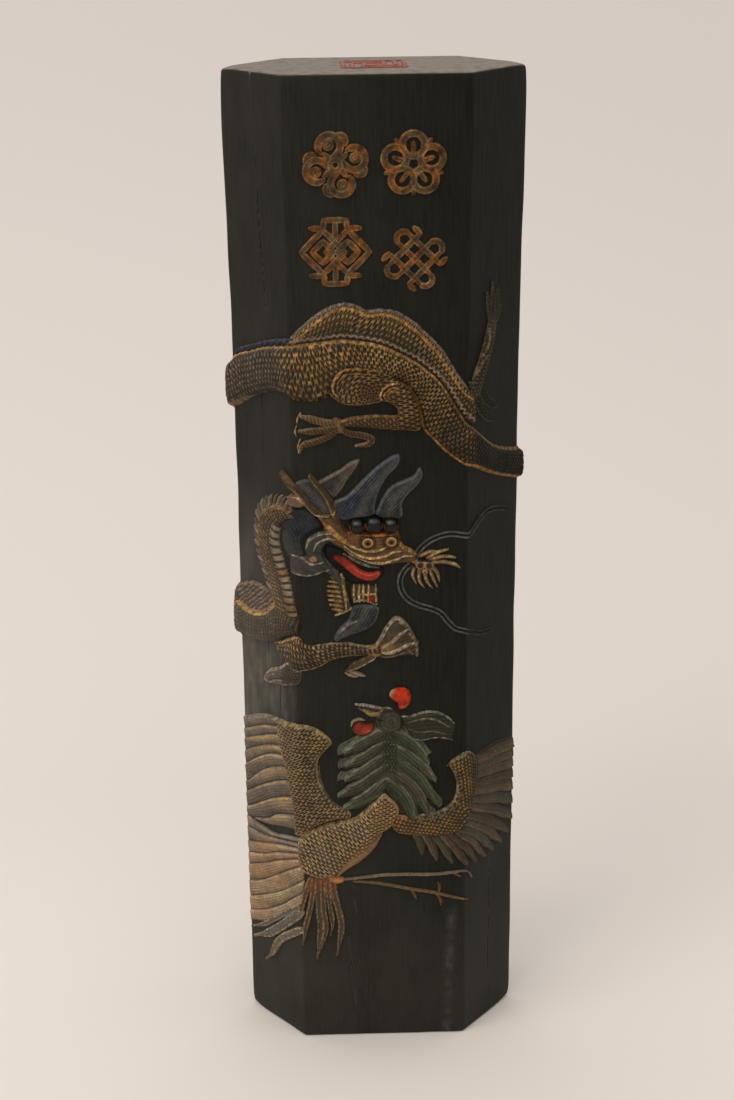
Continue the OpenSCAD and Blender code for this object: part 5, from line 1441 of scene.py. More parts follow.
def dragon_jaw_frill():
    s = Sheet(-15.6, -7.4, 132.6, 147, 0.15)
    for z, reach in ((145.2, 13.8), (143.9, 14.3), (142.5, 14.6), (141.1, 14.7), (139.8, 14.6), (138.5, 14.4),
                     (137.1, 14.1), (135.8, 13.4)):
        stroke(s, [(-10.2, z - 0.5, 0.6), (-12.2, z - 0.1, 0.6), (-reach, z + 0.15, 0.15)], 0.6, 0.95,
               lin(128, 100, 62),
               0.85)
        line(s, [(-10.4, z - 0.2), (-12.2, z + 0.2), (-reach + 0.2, z + 0.25)], 0.26, lin(190, 158, 104),
             0.2, 0.9)
    stroke(s, [(-8.4, 136, 0.5), (-10.4, 135, 0.55), (-12.6, 134, 0.15)], 0.6, 0.9, lin(190, 160, 118), 0.9)
    stroke(s, [(-10.8, 146, 0.4), (-10.1, 142.4, 0.55), (-9.7, 139, 0.55), (-9.5, 135.8, 0.4)], 0.6, 1.1,
           lin(206, 166, 92), 0.95)
    build(s, "dragon_jaw_frill_relief", "worn_gold", ["dragon_jaw_frill"])


def flame(s, outline, spine, rise, rgb, edge, hatch=0.95, angle=52):
    """A lock of the mane: a lobe with fine hatching, a light rim and a groove by its middle."""
    e = mass(s, outline, rise, rgb, 0.75, 1.1, 0.25)
    on = e > 0
    cross, _ = turned(s, angle)
    d, side, _, _ = track(s.G, s.Z, curve(spine), 6)
    hairs = stripes(cross + 0.08 * side * d + 0.16 * fuzz(s.G, s.Z, 3.2, 26.8), hatch)
    s.h = np.where(on, s.h + 0.14 * (hairs - 0.5) * smooth(e / 0.5), s.h)
    light = (0.4 + 0.45 * smooth(0.5 + 0.7 * fuzz(s.G, s.Z, 5, 26.0))) * (0.7 + 0.3
        * fuzz(s.G, s.Z, 1.6, 26.5))
    s.rgb = np.where(on[..., None], s.rgb * (0.2 + 1.85 * (light * hairs)[..., None]), s.rgb)
    s.tint(lin(110, 104, 92), bell(d, 1.1) * on * 0.45, 0.7)
    s.tint(edge, bell(e - 0.32, 0.3) * on * 0.85, 0.85)


def dragon_mane():
    s = Sheet(-29.6, 13.4, 148, 181.5, 0.17)
    blue, rim = patchy(s, lin(78, 76, 78), lin(58, 70, 88), 5, 97.0), lin(120, 120, 118)
    flame(s, [(-19, 173.4), (-17, 171.4), (-14.4, 168.6), (-13.4, 165.6), (-13.6, 163.4), (-16, 163.6),
              (-18.6, 165.4),
              (-20.4, 168), (-22.4, 170.4), (-22.6, 172.6)], [(-14.8, 164.4), (-17, 168), (-21, 172)], 0.8,
          lin(66, 66, 68), lin(104, 104, 100), 0.74, 40)
    flame(s, [(-12.6, 168.2), (-14.6, 170.4), (-16.8, 172.4), (-13.6, 174.4), (-10.4, 176.2), (-8, 178),
              (-5.4, 178.6),
              (-6.6, 176), (-8.6, 173.2), (-10.4, 170.2)], [(-12, 170), (-10, 173.4), (-6.4, 177.6)], 1.2,
          lin(80, 74, 70), lin(140, 124, 100), 0.74, 42)
    flame(s, [(-12.6, 166.6), (-8.8, 168.8), (-5.8, 171.8), (-3, 174.6), (0.4, 177.6), (3.4, 179.6),
              (5.2, 179.9),
              (5.4, 178.2), (4.2, 176), (1.9, 173.6), (-0.2, 169.7), (-1.4, 165.5), (-1.6, 163), (-6, 162.2),
              (-11.4, 162)], [(-6, 163), (-3.6, 168), (0.4, 173.6), (4, 178.4)], 1.3, blue, rim, 0.74, 50)
    flame(s, [(-0.8, 162.6), (-0.4, 165.6), (1.2, 168.8), (3, 171), (6.1, 172.6), (9.2, 174), (10.6, 176.2),
              (11.6, 174), (10.3, 171.4), (7.8, 168.8), (6, 166.2), (5.6, 162)],
              [(2, 163), (4, 168), (9.6, 173)], 1.2,
          lin(68, 72, 74), lin(114, 118, 110), 0.74, 48)
    nape = [(-24.4, 164.6), (-21.9, 165.2), (-18.6, 164), (-16.4, 161.6), (-15.4, 159.6), (-17.6, 158.8),
            (-20.6, 157.2), (-21.4, 154.4), (-20.6, 152), (-22.6, 150.8), (-25.4, 151), (-27.6, 153.6),
            (-28.4, 157),
            (-26.8, 161)]
    e = mass(s, nape, 0.7, lin(58, 62, 72), 0.6, 1.2, 0.3)
    on = (e > 0) & (s.rgb[..., 2] > s.rgb[..., 0])
    hairs = stripes(s.G + 0.35 * (s.Z - 158) + 0.03 * (s.Z - 158) ** 2 + 0.3 * fuzz(s.G, s.Z, 5, 23.0), 0.8)
    s.rgb = np.where(on[..., None], s.rgb * (0.8 + 0.35 * fuzz(s.G, s.Z, 4, 23.5))[..., None], s.rgb)
    s.h = np.where(on, s.h + 0.16 * (hairs - 0.5) * smooth(e / 0.5), s.h)
    s.rgb = np.where(on[..., None], s.rgb * (0.5 + 0.75 * hairs[..., None]), s.rgb)
    s.tint(lin(84, 80, 76), smooth((158.5 - s.Z) / 4) * on * 0.7, 0.5)
    build(s, "dragon_mane_relief", "blue_pigment", ["dragon_mane"])


def dragon_beard():
    s = Sheet(-14.4, 1.2, 124.6, 138, 0.19)
    out = [(-7.6, 136.6), (-4, 137.2), (-0.6, 136.2), (-0.8, 133.6), (-2, 131.2), (-5.1, 129.2), (-8.6, 128),
           (-12.4, 126.2), (-12.8, 128), (-11.2, 130.5), (-9, 132.8)]
    flame(s, out, [(-4, 136), (-6.4, 132), (-12, 127)], 1.2, lin(62, 66, 72), lin(104, 104, 102), 0.74, 62)
    line(s, [(-6.4, 132.6), (-9, 131.6), (-11.4, 129)], 0.4, lin(150, 144, 138), 0.25, 0.8)
    build(s, "dragon_beard_relief", "blue_pigment", ["dragon_beard"])


def dragon_whiskers():
    s = Sheet(4, 47.4, 123, 163.6, 0.19)
    upper = [(9.6, 150.6), (10.8, 152.8), (13.2, 155), (16.4, 156.5), (19.6, 157), (22.4, 156.6),
             (24.6, 156.4),
             (27.4, 158), (30.8, 160), (34.8, 160.9), (40.4, 159.8), (46, 157.6)]
    lower = [(8.4, 148.6), (6.4, 146.6), (5.4, 143.8), (5.9, 140.6), (7.8, 138), (10.6, 136.4), (14, 135.3),
             (16.6, 133.9), (18.6, 131.4), (20.6, 129.4), (23, 128.6), (27.1, 127), (30.6, 125.7),
             (36.2, 124.9)]
    for path in (upper, lower):
        mid = curve(path)
        step = np.gradient(mid[:, :2], axis=0)
        step /= np.hypot(step[:, 0], step[:, 1])[:, None]
        normal = np.column_stack([-step[:, 1], step[:, 0]])
        for off, colour in ((-0.58, lin(122, 118, 112)), (0.58, lin(106, 103, 98))):
            ray = mid[:, :2] + normal * off
            t = np.linspace(0, 1, len(ray))
            half = 0.29 * np.where(ray[:, 0] > 24, 0.75, 1.0) * np.clip((1 - t) / 0.12, 0.25, 1)
            d, _, _, w = track(s.G, s.Z, np.column_stack([ray, half]), 1.4)
            w = np.maximum(w, 0.05)
            fade = np.where(s.G > 24.5, 0.3, 0.68) * (0.8 + 0.3 * fuzz(s.G, s.Z, 2, 29.0))
            s.lay(np.where(d < w, 0.6 * np.sqrt(np.maximum(1 - (d / w) ** 2, 0)), -(d - w) * 1.6), colour,
                  fade,
                  where=d < w + 0.6)
    build(s, "dragon_whiskers_relief", "worn_gold", ["dragon_whiskers"])


def dragon_nose_tuft():
    s = Sheet(7.4, 23, 139.6, 154.4, 0.16)
    pale = lin(186, 160, 120)
    for path in ([(13, 150.4), (15.6, 151.8), (18.6, 152.6)], [(13.6, 149.8), (17, 150.6), (20.6, 150.2)],
                 [(14.2, 149), (17.4, 149), (20.4, 148.2), (21.8, 147.2)],
                 [(11, 151), (13.6, 152), (16, 151.9)]):
        stroke(s, [path[0] + (0.62,)] + [p + (0.5,) for p in path[1:-1]] + [path[-1] + (0.12,)], 0.5, 0.9,
               lin(150, 112, 70), 0.85)
        line(s, [(p[0], p[1] + 0.32) for p in path], 0.24, pale, 0.2, 0.95, (0.6, 0.2))
    for path in ([(9.2, 147.4), (8.8, 145.4), (9.8, 142.8)], [(10.6, 146.8), (10.6, 144), (12, 141.6)],
                 [(12, 146.4), (12.6, 143.8), (14.2, 141.4)], [(13.4, 147), (14.4, 144.4), (15.6, 141.6)],
                 [(14.4, 147.4), (15.6, 145.6), (16.2, 143.2)]):
        stroke(s, [path[0] + (0.55,), path[1] + (0.5,), path[2] + (0.12,)], 0.5, 0.8, lin(150, 122, 84), 0.8)
        line(s, [(p[0] - 0.2, p[1]) for p in path], 0.2, lin(196, 176, 140), 0.18, 0.85, (0.6, 0.2))
    build(s, "dragon_nose_tuft_relief", "worn_gold", ["dragon_nose_tuft"])


# ---------------------------------------------------------------- the phoenix

def phoenix_comb():
    s = Sheet(0.6, 9.6, 104.6, 113, 0.17)
    out = [(2.2, 109.6), (2.9, 111.2), (4.8, 111.9), (7, 111.5), (8.1, 109.8), (8, 107.6), (6.8, 105.9),
           (5, 105.6),
           (4.6, 107.2), (3.4, 108.2)]
    e = mass(s, out, 1.6, RED, 0.97, 1.1, 0.4)
    pits = drops(s.G * 0.9 + 0.4 * s.Z, s.Z - 0.3 * s.G, 1.3, 0.9, 0.26)
    carve(s, np.maximum(pits, 0.35), smooth((e - 0.5) / 0.8) * smooth((109.6 - s.Z) / 2), 0.3, 0.75)
    s.tint(lin(232, 96, 50), smooth(fuzz(s.G, s.Z, 5, 31.0)) * (e > 0) * 0.5)
    s.tint(lin(186, 170, 140), bell(e - 0.2, 0.3) * smooth((4.4 - s.G) / 1.5) * smooth((s.Z - 108.6) / 1),
           0.9)
    build(s, "phoenix_comb_relief", "red_pigment", ["phoenix_comb"])


def phoenix_wattle():
    s = Sheet(-9.6, -0.8, 96.2, 103.6, 0.17)
    out = [(-8.2, 100), (-7.4, 101.5), (-5.9, 101.9), (-5, 101.1), (-4, 101), (-2.6, 101.2), (-2, 100.4),
           (-2.8, 98.9),
           (-4.4, 97.8), (-6.4, 97.7), (-7.8, 98.5)]
    e = mass(s, out, 1.2, lin(126, 48, 34), 0.95, 0.9, 0.3)
    s.tint(lin(196, 76, 48), np.exp(-(((s.G + 4) / 1.6) ** 2 + ((s.Z - 99.2) / 0.9) ** 2)) * (e > 0) * 0.7)
    stroke(s, [(-8.6, 100.4), (-8, 101.9), (-6.4, 102.6), (-4.9, 102.2)], 0.4, 0.7, lin(140, 134, 112), 0.85)
    build(s, "phoenix_wattle_relief", "red_pigment", ["phoenix_wattle"])


def phoenix_head():
    s = Sheet(-9, 7.4, 97.6, 109, 0.17)
    dark = lin(70, 66, 50)
    mass(s, [(-1.2, 103.6), (0.2, 105.2), (2.6, 105.4), (4.8, 104), (5.8, 101.4), (5, 99), (2.4, 98.2),
             (-0.4, 99),
             (-1.8, 101.2)], 1.6, dark, 0.7, 1.3, 0.5)
    d = np.hypot(s.G - 2.6, s.Z - 102.2)
    ring = stripes(d, 1.25)
    on = s.h > 0.6
    s.h = np.where(on, s.h + 0.14 * ring, s.h)
    s.tint(lin(96, 92, 66), ring * on * 0.55, 0.75)
    s.tint(lin(58, 44, 48), bell(d - 3.2, 0.45) * on * (s.Z > 101), 0.8)
    stroke(s, [(-0.2, 105.2, 0.8), (-2.6, 105.9, 0.85), (-5, 106.6, 0.6), (-7.6, 107.3, 0.12)], 0.6, 1.1,
           lin(60, 44, 44), 0.8)
    stroke(s, [(-0.6, 104.2, 0.7), (-2.8, 104.2, 0.6), (-4.8, 105.2, 0.4), (-6.4, 106, 0.1)], 0.6, 0.9,
           lin(150, 126, 78), 0.85)
    line(s, [(0.8, 105.8), (-1.4, 106.3), (-4.2, 107), (-7.4, 107.4)], 0.28, lin(176, 160, 146), 0.25, 0.9)
    line(s, [(0.4, 105.4), (-1.6, 104.7), (-3.8, 105.4), (-6.4, 106.2)], 0.24, lin(190, 166, 112), 0.22, 0.9)
    line(s, [(-0.8, 103.4), (-2.8, 103.4), (-4.8, 104.6)], 0.3, lin(190, 158, 96), 0.22, 0.9)
    line(s, [(-0.4, 105.4), (1.4, 105.9), (3, 105.5)], 0.35, lin(170, 156, 120), 0.22, 0.9)
    stroke(s, [(-0.9, 102.8, 0.45), (-0.3, 102.9, 0.5), (0.3, 102.8, 0.4)], 0.4, 2.1, BLACK, 0.9)
    build(s, "phoenix_head_relief", "green_pigment", ["phoenix_head"])


def phoenix_crest():
    s = Sheet(4.4, 22, 93.2, 106, 0.18)
    out = [(5.4, 103), (8, 103.2), (11.4, 104.4), (15.2, 104.5), (18, 103.1), (20.6, 100.6), (20.4, 98),
           (19.4, 95.6),
           (15.2, 96.2), (11, 95.6), (8.4, 96.6), (6.6, 99.4)]
    e = mass(s, out, 1.0, lin(72, 70, 54), 0.5, 1.2, 0.3)
    on = (e > 0) * 1.0
    flow = s.Z - 0.9 * np.sin((s.G - 6) / 15 * math.pi) - 0.05 * (s.G - 6)
    bars = stripes(flow, 1.15)
    s.h += 0.16 * (bars - 0.5) * on
    s.rgb *= (1 - 0.4 * on * (1 - bars))[..., None]
    for path, colour in (([(5.6, 103.2), (8, 103.2), (11.4, 104.3), (15.2, 104.4), (18.2, 103),
                           (20.4, 100.8)],
                          lin(150, 142, 120)),
                         ([(6.2, 100.4), (8, 97.2), (11, 95.9), (15.2, 96.6), (17.6, 96.6), (19.8, 95.6)],
                          lin(176, 164, 144)),
                         ([(7.4, 101.6), (11, 102.6), (15, 102.4), (19, 100)], lin(118, 116, 90)),
                         ([(7.2, 99.8), (10.6, 98.6), (14.4, 98.8), (18.6, 97.8)], lin(110, 104, 82))):
        line(s, path, 0.34, colour, 0.25, 0.85)
    build(s, "phoenix_crest_relief", "green_pigment", ["phoenix_crest"])


def phoenix_hackle():
    s = Sheet(-13, 17, 70.5, 101, 0.19)
    G, Z = s.G, s.Z
    pale, green = lin(150, 146, 126), lin(108, 118, 88)
    mass(s, [(-1, 99.4), (-3.4, 96), (-6.4, 92), (-7.6, 86), (-8.4, 80), (-5, 78.6), (0, 81.4), (3.6, 77),
             (8.4, 74.8),
             (12.4, 76.6), (12.8, 83), (11.4, 88.6), (8.4, 93), (5.4, 97), (4.6, 99.6)], 0.9,
             lin(82, 82, 64), 0.55, 1.6, 0.3)
    left = [((1.2, 83.4), (-4, 78.6), (-10.2, 75.2)), ((1.0, 87.4), (-5, 82.4), (-11.6, 79.2)),
            ((1.0, 91.2), (-4.4, 86.8), (-9.6, 84.2)),
            ((1.2, 95), (-4, 91), (-9.4, 88.6)), ((1.6, 99), (-3.4, 96), (-9.6, 92.8))]
    right = [((2, 82.8), (6, 78), (8.2, 71.8)), ((2.8, 86.2), (8.8, 80.6), (12, 74)),
             ((3, 90.2), (9.4, 84.6), (14.4, 77)),
             ((3.2, 94), (9, 89.2), (14.4, 83.6)), ((3.2, 98.4), (8.4, 94.2), (12.4, 89))]
    for n, (a, b) in enumerate(zip(left, right)):
        vane(s, a, 2.3, 1.4, lin(94, 90, 72) if n % 2 else lin(98, 98, 76), pale, 0.95, -0.3, 0.66,
             (0.7, 0.5), 0.7, n, 0.55,
             0.75, 0.7)
        vane(s, b, 2.25, 1.4, lin(106, 102, 80) if n % 2 else lin(98, 104, 74),
             green if n in (1, 2) else pale, 0.95, 0.3, 0.64,
             (0.7, 0.5), 0.7, 8 + n, 0.55, 0.7, 0.7)
    d = np.abs(G - 2.2)
    mid = smooth((2.6 - d) / 1.2) * smooth((Z - 84) / 3) * smooth((99 - Z) / 2)
    cross, run = turned(s, 90)
    s.h = np.maximum(s.h, mid * 1.25)
    carve(s, drops(cross, run, 0.95, 1.0, 0.28), mid, 0.22, 0.35)
    s.tint(lin(112, 116, 82), mid * 0.4, s.cover)
    s.tint(lin(104, 132, 84), bell(Z - 77.4 - 0.4 * (G + 5), 0.7) * ((G > -10) & (G < 0.4)) * 0.5, 0.7)
    build(s, "phoenix_hackle_relief", "green_pigment", ["phoenix_hackle"])


PHOENIX_BODY = [(-23.9, 65.6), (-19.4, 68.8), (-14.6, 70.5), (-7.6, 71.9), (-3.5, 75.7), (0, 79.4), (2, 78),
                (4.6, 74.6),
                (3.6, 70), (0.9, 67.6), (-0.4, 66.7), (-3.5, 62.6), (-9, 58.4), (-13.2, 54.2), (-17.3, 52.7),
                (-21.5, 54), (-23.9, 56.6)]


def phoenix_body():
    s = Sheet(-25.2, 6, 50.4, 81, 0.16)
    G, Z = s.G, s.Z
    e = mass(s, PHOENIX_BODY, 1.8, patchy(s, lin(192, 164, 124), lin(204, 168, 120), 8, 33.0), 0.9, 1.8, 0.4)
    cross, run = turned(s, -48)
    cross = cross + 0.3 * fuzz(G, Z, 6, 34.0)
    main = drops(cross, run + 0.2 * fuzz(G, Z, 4, 34.5), 1.3, 1.3, 0.26 * (1 + 0.2 * fuzz(G, Z, 3, 34.7)))
    level, over = turned(s, -6)
    breast = drops(level + 0.25 * fuzz(G, Z, 5, 35.0), over, 1.2, 1.0, 0.26)
    front = smooth((G + 3.5 + 0.4 * (72 - Z)) / 1.2)
    net = np.where(front > 0.5, breast, main)
    carve(s, net, smooth((e - 0.2) / 0.7), 0.32, 0.2)
    s.tint(lin(190, 136, 84), front * 0.45 * (e > 0), s.cover)
    flank = [(-0.6, 66.6), (-3.2, 63), (-7, 59.6), (-10.4, 57), (-13, 54)]
    stroke(s, [flank[0] + (0.5,), flank[1] + (1.2,), flank[2] + (1.6,), flank[3] + (1.3,),
               flank[4] + (0.5,)], 1.2, 1.7,
           lin(150, 112, 78), 0.8)
    line(s, [(-23.9, 65.4), (-19.4, 68.6), (-14.6, 70.3), (-7.6, 71.8), (-3.6, 75.5), (-0.4, 79)], 0.5,
         lin(180, 150, 106),
         0.35, 0.8, (0.8, 0.4))
    stroke(s, [(-15, 52.8, 0.9), (-13.4, 52.3, 1.3), (-12, 52.2, 0.9)], 1, 1.4, lin(196, 132, 78), 0.9)
    build(s, "phoenix_body_relief", "dragon_scales", ["phoenix_body"])


def phoenix_left_wing():
    s = Sheet(-50.2, -8.6, 61.4, 103.6, 0.18)
    G, Z = s.G, s.Z
    grey, taupe, gold = lin(122, 107, 90), lin(152, 134, 114), lin(202, 164, 108)
    pale, tan = lin(180, 164, 142), lin(206, 174, 124)
    edges = [[(-51, 62.4), (-47, 64), (-40, 64.2), (-36, 65), (-30, 66.6), (-22, 68)],
             [(-51, 62.9), (-44, 64.8), (-38, 66.9), (-34, 69.5), (-29, 71.4), (-22, 73.4)],
             [(-51, 65.6), (-46, 68), (-40, 71.6), (-34, 75), (-28, 77.4), (-22, 78.8)],
             [(-51, 70), (-47, 72.6), (-42, 75.8), (-36, 79.2), (-30, 81.8), (-22, 84)],
             [(-51, 73.6), (-46, 76.6), (-42, 80), (-38, 82.8), (-33, 85.2), (-28, 86.4), (-22, 87)],
             [(-51, 79), (-47, 81.6), (-42, 85), (-37, 87.8), (-32, 89.2), (-22, 90.6)],
             [(-51, 83.6), (-48, 85.2), (-43, 88), (-36, 91), (-30, 92.3), (-22, 93)],
             [(-51, 87.6), (-47, 89.5), (-40, 92.6), (-35, 94.6), (-31, 95.6), (-22, 96)],
             [(-51, 91), (-47, 92.6), (-40, 95.8), (-35, 97.4), (-30, 98.4), (-22, 98.8)],
             [(-51, 94.4), (-47, 96), (-40, 99), (-35, 100), (-30, 100.3), (-22, 100.2)]]
    tones = [(grey, taupe, pale), (grey, taupe, tan), (grey, taupe, tan), (grey, taupe, pale),
             (grey, taupe, tan),
             (grey, taupe, pale), (grey, taupe, tan), (grey, taupe, tan), (grey, taupe, pale)]
    fan(s, edges, 1.05, tones, -21.6, 0.82, 0.75, 0.55)
    for k, where, span in ((1, -33, 5), (2, -30, 4), (4, -36, 6), (6, -36, 7), (7, -38, 7)):
        z = np.interp(G, *np.array([(p[0], p[1]) for p in curve(edges[k])]).T)
        z1 = np.interp(G, *np.array([(p[0], p[1]) for p in curve(edges[k - 1])]).T)
        under = (z - Z) / np.maximum(z - z1, 0.3)
        s.tint(gold, bell(under - 0.3, 0.3) * bell(G - where, span) * 0.6 * (under > 0), s.cover)
    covert = [(-31.8, 99.6), (-27.4, 100.6), (-23.5, 101.1), (-19.8, 100.4), (-16.3, 98.3), (-14.2, 95.5),
              (-16.2, 93),
              (-18, 90.4), (-18.3, 86.4), (-17.6, 82.8), (-15.8, 79.6), (-13.6, 76.6), (-9.6, 74.2),
              (-9.4, 72),
              (-13.9, 71.4), (-19.4, 69.3), (-24.4, 66.2), (-25.2, 70), (-26, 76), (-27.4, 82), (-29.4, 88),
              (-31.6, 93.4)]
    e = mass(s, covert, 1.5, patchy(s, lin(164, 138, 98), lin(186, 150, 98), 9, 37.0), 0.9, 1.6, 0.2)
    cross, run = turned(s, 28)
    net = drops(cross + 0.3 * fuzz(G, Z, 7, 38.0) + 0.12 * fuzz(G, Z, 2, 38.2),
                run + 0.3 * fuzz(G, Z, 4, 38.5), 1.3, 1.04,
                0.28 * (1 + 0.25 * fuzz(G, Z, 3, 38.7)))
    carve(s, net, smooth((e - 0.1) / 0.6), 0.34, 0.2)
    scallop = 0.5 + 0.5 * np.cos(2 * math.pi * (Z + 0.3 * G) / 1.9)
    border = bell(e - 0.4 - 0.4 * scallop, 0.35) * smooth((-23 - G) / 2)
    s.tint(lin(190, 160, 110), border * 0.6 * (e > 0), 0.8)
    line(s, [(-33, 99.4), (-27.4, 100.4), (-23.5, 100.9), (-19.8, 100.2), (-16.5, 98.2), (-14.6, 95.6)], 0.5,
         lin(186, 160, 114), 0.3, 0.8)
    line(s, [(-50, 94.9), (-47, 96), (-40, 98.9), (-35, 99.9), (-30, 100.2)], 0.5, lin(176, 156, 138), 0.3,
         0.8, (1, 1))
    line(s, [(-17.9, 88.6), (-17.6, 84), (-16, 79.9), (-13.8, 76.7), (-10.2, 74.4)], 0.4, lin(136, 118, 92),
         0.25, 0.7)
    build(s, "phoenix_left_wing_relief", "tan_pigment", ["phoenix_left_wing"])


def phoenix_right_wing():
    s = Sheet(2, 50.2, 53.4, 93.6, 0.18)
    G, Z = s.G, s.Z
    starts = [(29, 87.6), (29.4, 85.4), (29.4, 83), (29, 80.6), (28.4, 78.2), (27.6, 75.8), (26.6, 73.6),
              (25.6, 71.4),
              (24.6, 69.6), (23.2, 68.2), (21.4, 67.4), (19.2, 67), (16.8, 66.8), (14.2, 67), (11.6, 67.4),
              (9, 67.8)]
    ends = [(52, 84.6), (52, 81.4), (52, 78), (52, 74.2), (52, 70), (51, 65.6), (48.6, 61.4), (45.4, 58.2),
            (41.6, 56.6),
            (37.4, 55.8), (33.2, 55.2), (28.6, 55.6), (24, 56.6), (20, 57.4), (15.6, 58.4), (11.6, 60.4)]
    tones = (lin(126, 102, 76), lin(104, 96, 72), lin(118, 98, 76), lin(98, 84, 62))
    for i, (a, b) in enumerate(zip(starts, ends)):
        mid = ((a[0] + b[0]) / 2 + 0.5, (a[1] + b[1]) / 2 + (0.8 if i < 10 else 0.2))
        half = 2.0 if i < 6 else 1.9 if i < 10 else 1.45
        vane(s, [a, mid, b], half, 0.85, tones[i % 4], lin(140, 124, 100), 0.95, -0.35, 0.6, (0.8, 0.55),
             0.4, 20 + i,
             0.28, 0.5, 0.45)
    s.h = np.where(s.h > 0, s.h * (1 - 0.6 * smooth((G - 43) / 6)), s.h)
    covert = [(3, 72.6), (6, 72.2), (9, 71.9), (12.5, 72.8), (16, 73.4), (19.2, 75.2), (20.8, 78.2),
              (21.2, 82),
              (20.2, 85.6), (19, 88.2), (21, 90.2), (24.6, 91.4), (27.4, 89.6), (29.2, 86), (28.6, 81),
              (26.8, 76),
              (25, 71.6), (23.2, 67.8), (20.4, 66.4), (15.9, 65.6), (9, 66), (4.4, 66.8), (2.6, 69.6)]
    e = mass(s, covert, 1.45, patchy(s, lin(140, 116, 78), lin(176, 138, 84), 8, 41.0), 0.85, 1.6, 0.2)
    dark = smooth((G - 23.2) / 2)
    s.tint(lin(100, 84, 62), dark * 0.6 * (e > 0), s.cover * 0.85)
    s.tint(lin(206, 140, 80), smooth((12 - G) / 5) * 0.4 * (e > 0), s.cover)
    turn = np.clip((Z - 66) / 20, 0, 1) * 55 + 18
    cross = -G * np.sin(np.radians(25)) + Z * math.cos(math.radians(25))
    low = drops(cross + 0.25 * fuzz(G, Z, 6, 42.0), G * 0.9 + Z * 0.42, 1.3, 0.9, 0.3)
    cross, run = turned(s, 62)
    up = drops(cross + 0.2 * fuzz(G, Z, 6, 43.0), run, 1.26, 0.92, 0.3)
    net = np.where(turn > 42, up, low)
    carve(s, net, smooth((e - 0.1) / 0.6), 0.34, 0.26)
    for off, colour in ((0.0, lin(160, 148, 120)), (1.3, lin(126, 110, 80))):
        line(s, [(20.6 + off, 86.2), (21.4 + off, 82), (20.9 + off, 78), (19.2 + off * 0.8, 75.1 - off * 0.4),
                 (16 + off * 0.4, 73.3 - off), (12.4, 72.7 - off), (9, 71.8 - off)], 0.34, colour, 0.3, 0.75,
                 (0.5, 0.5))
    line(s, [(18.4, 87.4), (20.4, 89.4), (22, 90.6), (23.6, 91.4), (25.2, 91), (29.1, 88.4)], 0.4,
         lin(150, 138, 110),
         0.35, 0.75, (0.5, 0.4))
    line(s, [(24, 91.2), (29.1, 88.4), (34.7, 87.2), (40.9, 86), (46.5, 84.6), (50, 83.6)], 0.4,
         lin(116, 100, 80), 0.3,
         0.6, (1, 1))
    build(s, "phoenix_right_wing_relief", "tan_pigment", ["phoenix_right_wing"])


def phoenix_tail_plumes():
    s = Sheet(-50.2, -21.9, 16.5, 67, 0.18)
    edges = [[(-51.6, 26.5), (-48, 28.8), (-40, 31.5), (-34, 34.8), (-28, 38.6), (-22, 43.4)],
             [(-51.6, 30.6), (-48, 32.4), (-40, 36), (-32, 41), (-27, 45), (-22, 49.2)],
             [(-51.6, 35.4), (-48, 37), (-41, 40.4), (-33, 44.8), (-27, 49), (-22, 52.8)],
             [(-51.6, 40.6), (-48, 42.4), (-42, 45), (-35, 49.4), (-29, 53.3), (-22, 57.6)],
             [(-51.6, 46), (-47, 48.2), (-40, 51.4), (-34, 54.5), (-28, 57.2), (-22, 59.6)],
             [(-51.6, 50), (-48, 51.6), (-40, 54.4), (-33, 57.6), (-22, 61.2)],
             [(-51.6, 54.6), (-47, 55.8), (-40, 58), (-33, 60.2), (-22, 62.8)],
             [(-51.6, 59.6), (-47, 60.2), (-40, 60.6), (-33, 61.9), (-22, 64.4)],
             [(-51.6, 63.6), (-47, 63.7), (-36, 62.9), (-30, 64.3), (-22, 66.2)]]
    dun, tan, light = lin(160, 136, 108), lin(204, 173, 136), lin(216, 196, 166)
    peach, grey, yellow = lin(216, 176, 134), lin(164, 150, 132), lin(196, 170, 124)
    tones = [(dun, tan, light), (dun, yellow, light), (dun, tan, light),
             (lin(160, 130, 98), peach, lin(222, 188, 150)),
             (dun, peach, light), (dun, tan, light), (lin(120, 108, 94), grey, lin(186, 172, 154)),
             (lin(120, 108, 94), grey, lin(196, 182, 162))]
    fan(s, edges, 0.9, tones, [(16, -22.9), (40, -23.2), (50, -22.6), (58, -22.4), (68, -22.4)], 0.72, 0.38,
        0.5, 0.7)
    ribbon(s, [(-23.6, 41.6), (-29, 36.8), (-34, 32.4), (-39.4, 28.2), (-46.2, 24.4)], 1.5, 0.8,
           lin(122, 112, 98),
           (lin(196, 182, 160), lin(182, 166, 146)), 0.7, lin(160, 150, 132))
    ribbon(s, [(-23.6, 36), (-28, 32.9), (-32, 30), (-35.2, 26.6), (-38, 21.8), (-40.4, 19.2)], 1.25, 0.9,
           lin(130, 114, 94),
           (lin(200, 178, 152), lin(190, 168, 142)), 0.7, lin(156, 136, 112))
    ribbon(s, [(-24, 43.4), (-30, 39), (-36, 34.4), (-41, 30.6), (-47.6, 27)], 0.9, 0.75, lin(126, 110, 92),
           (lin(178, 162, 140), lin(168, 152, 130)), 0.65)
    s.tint(lin(206, 150, 100), smooth(fuzz(s.G * 0.5, s.Z, 9, 46.0) * 1.3 - 0.1) * 0.35 * (s.h > 0), s.cover)
    build(s, "phoenix_plumes_relief", "tan_pigment", ["phoenix_tail_plumes"])


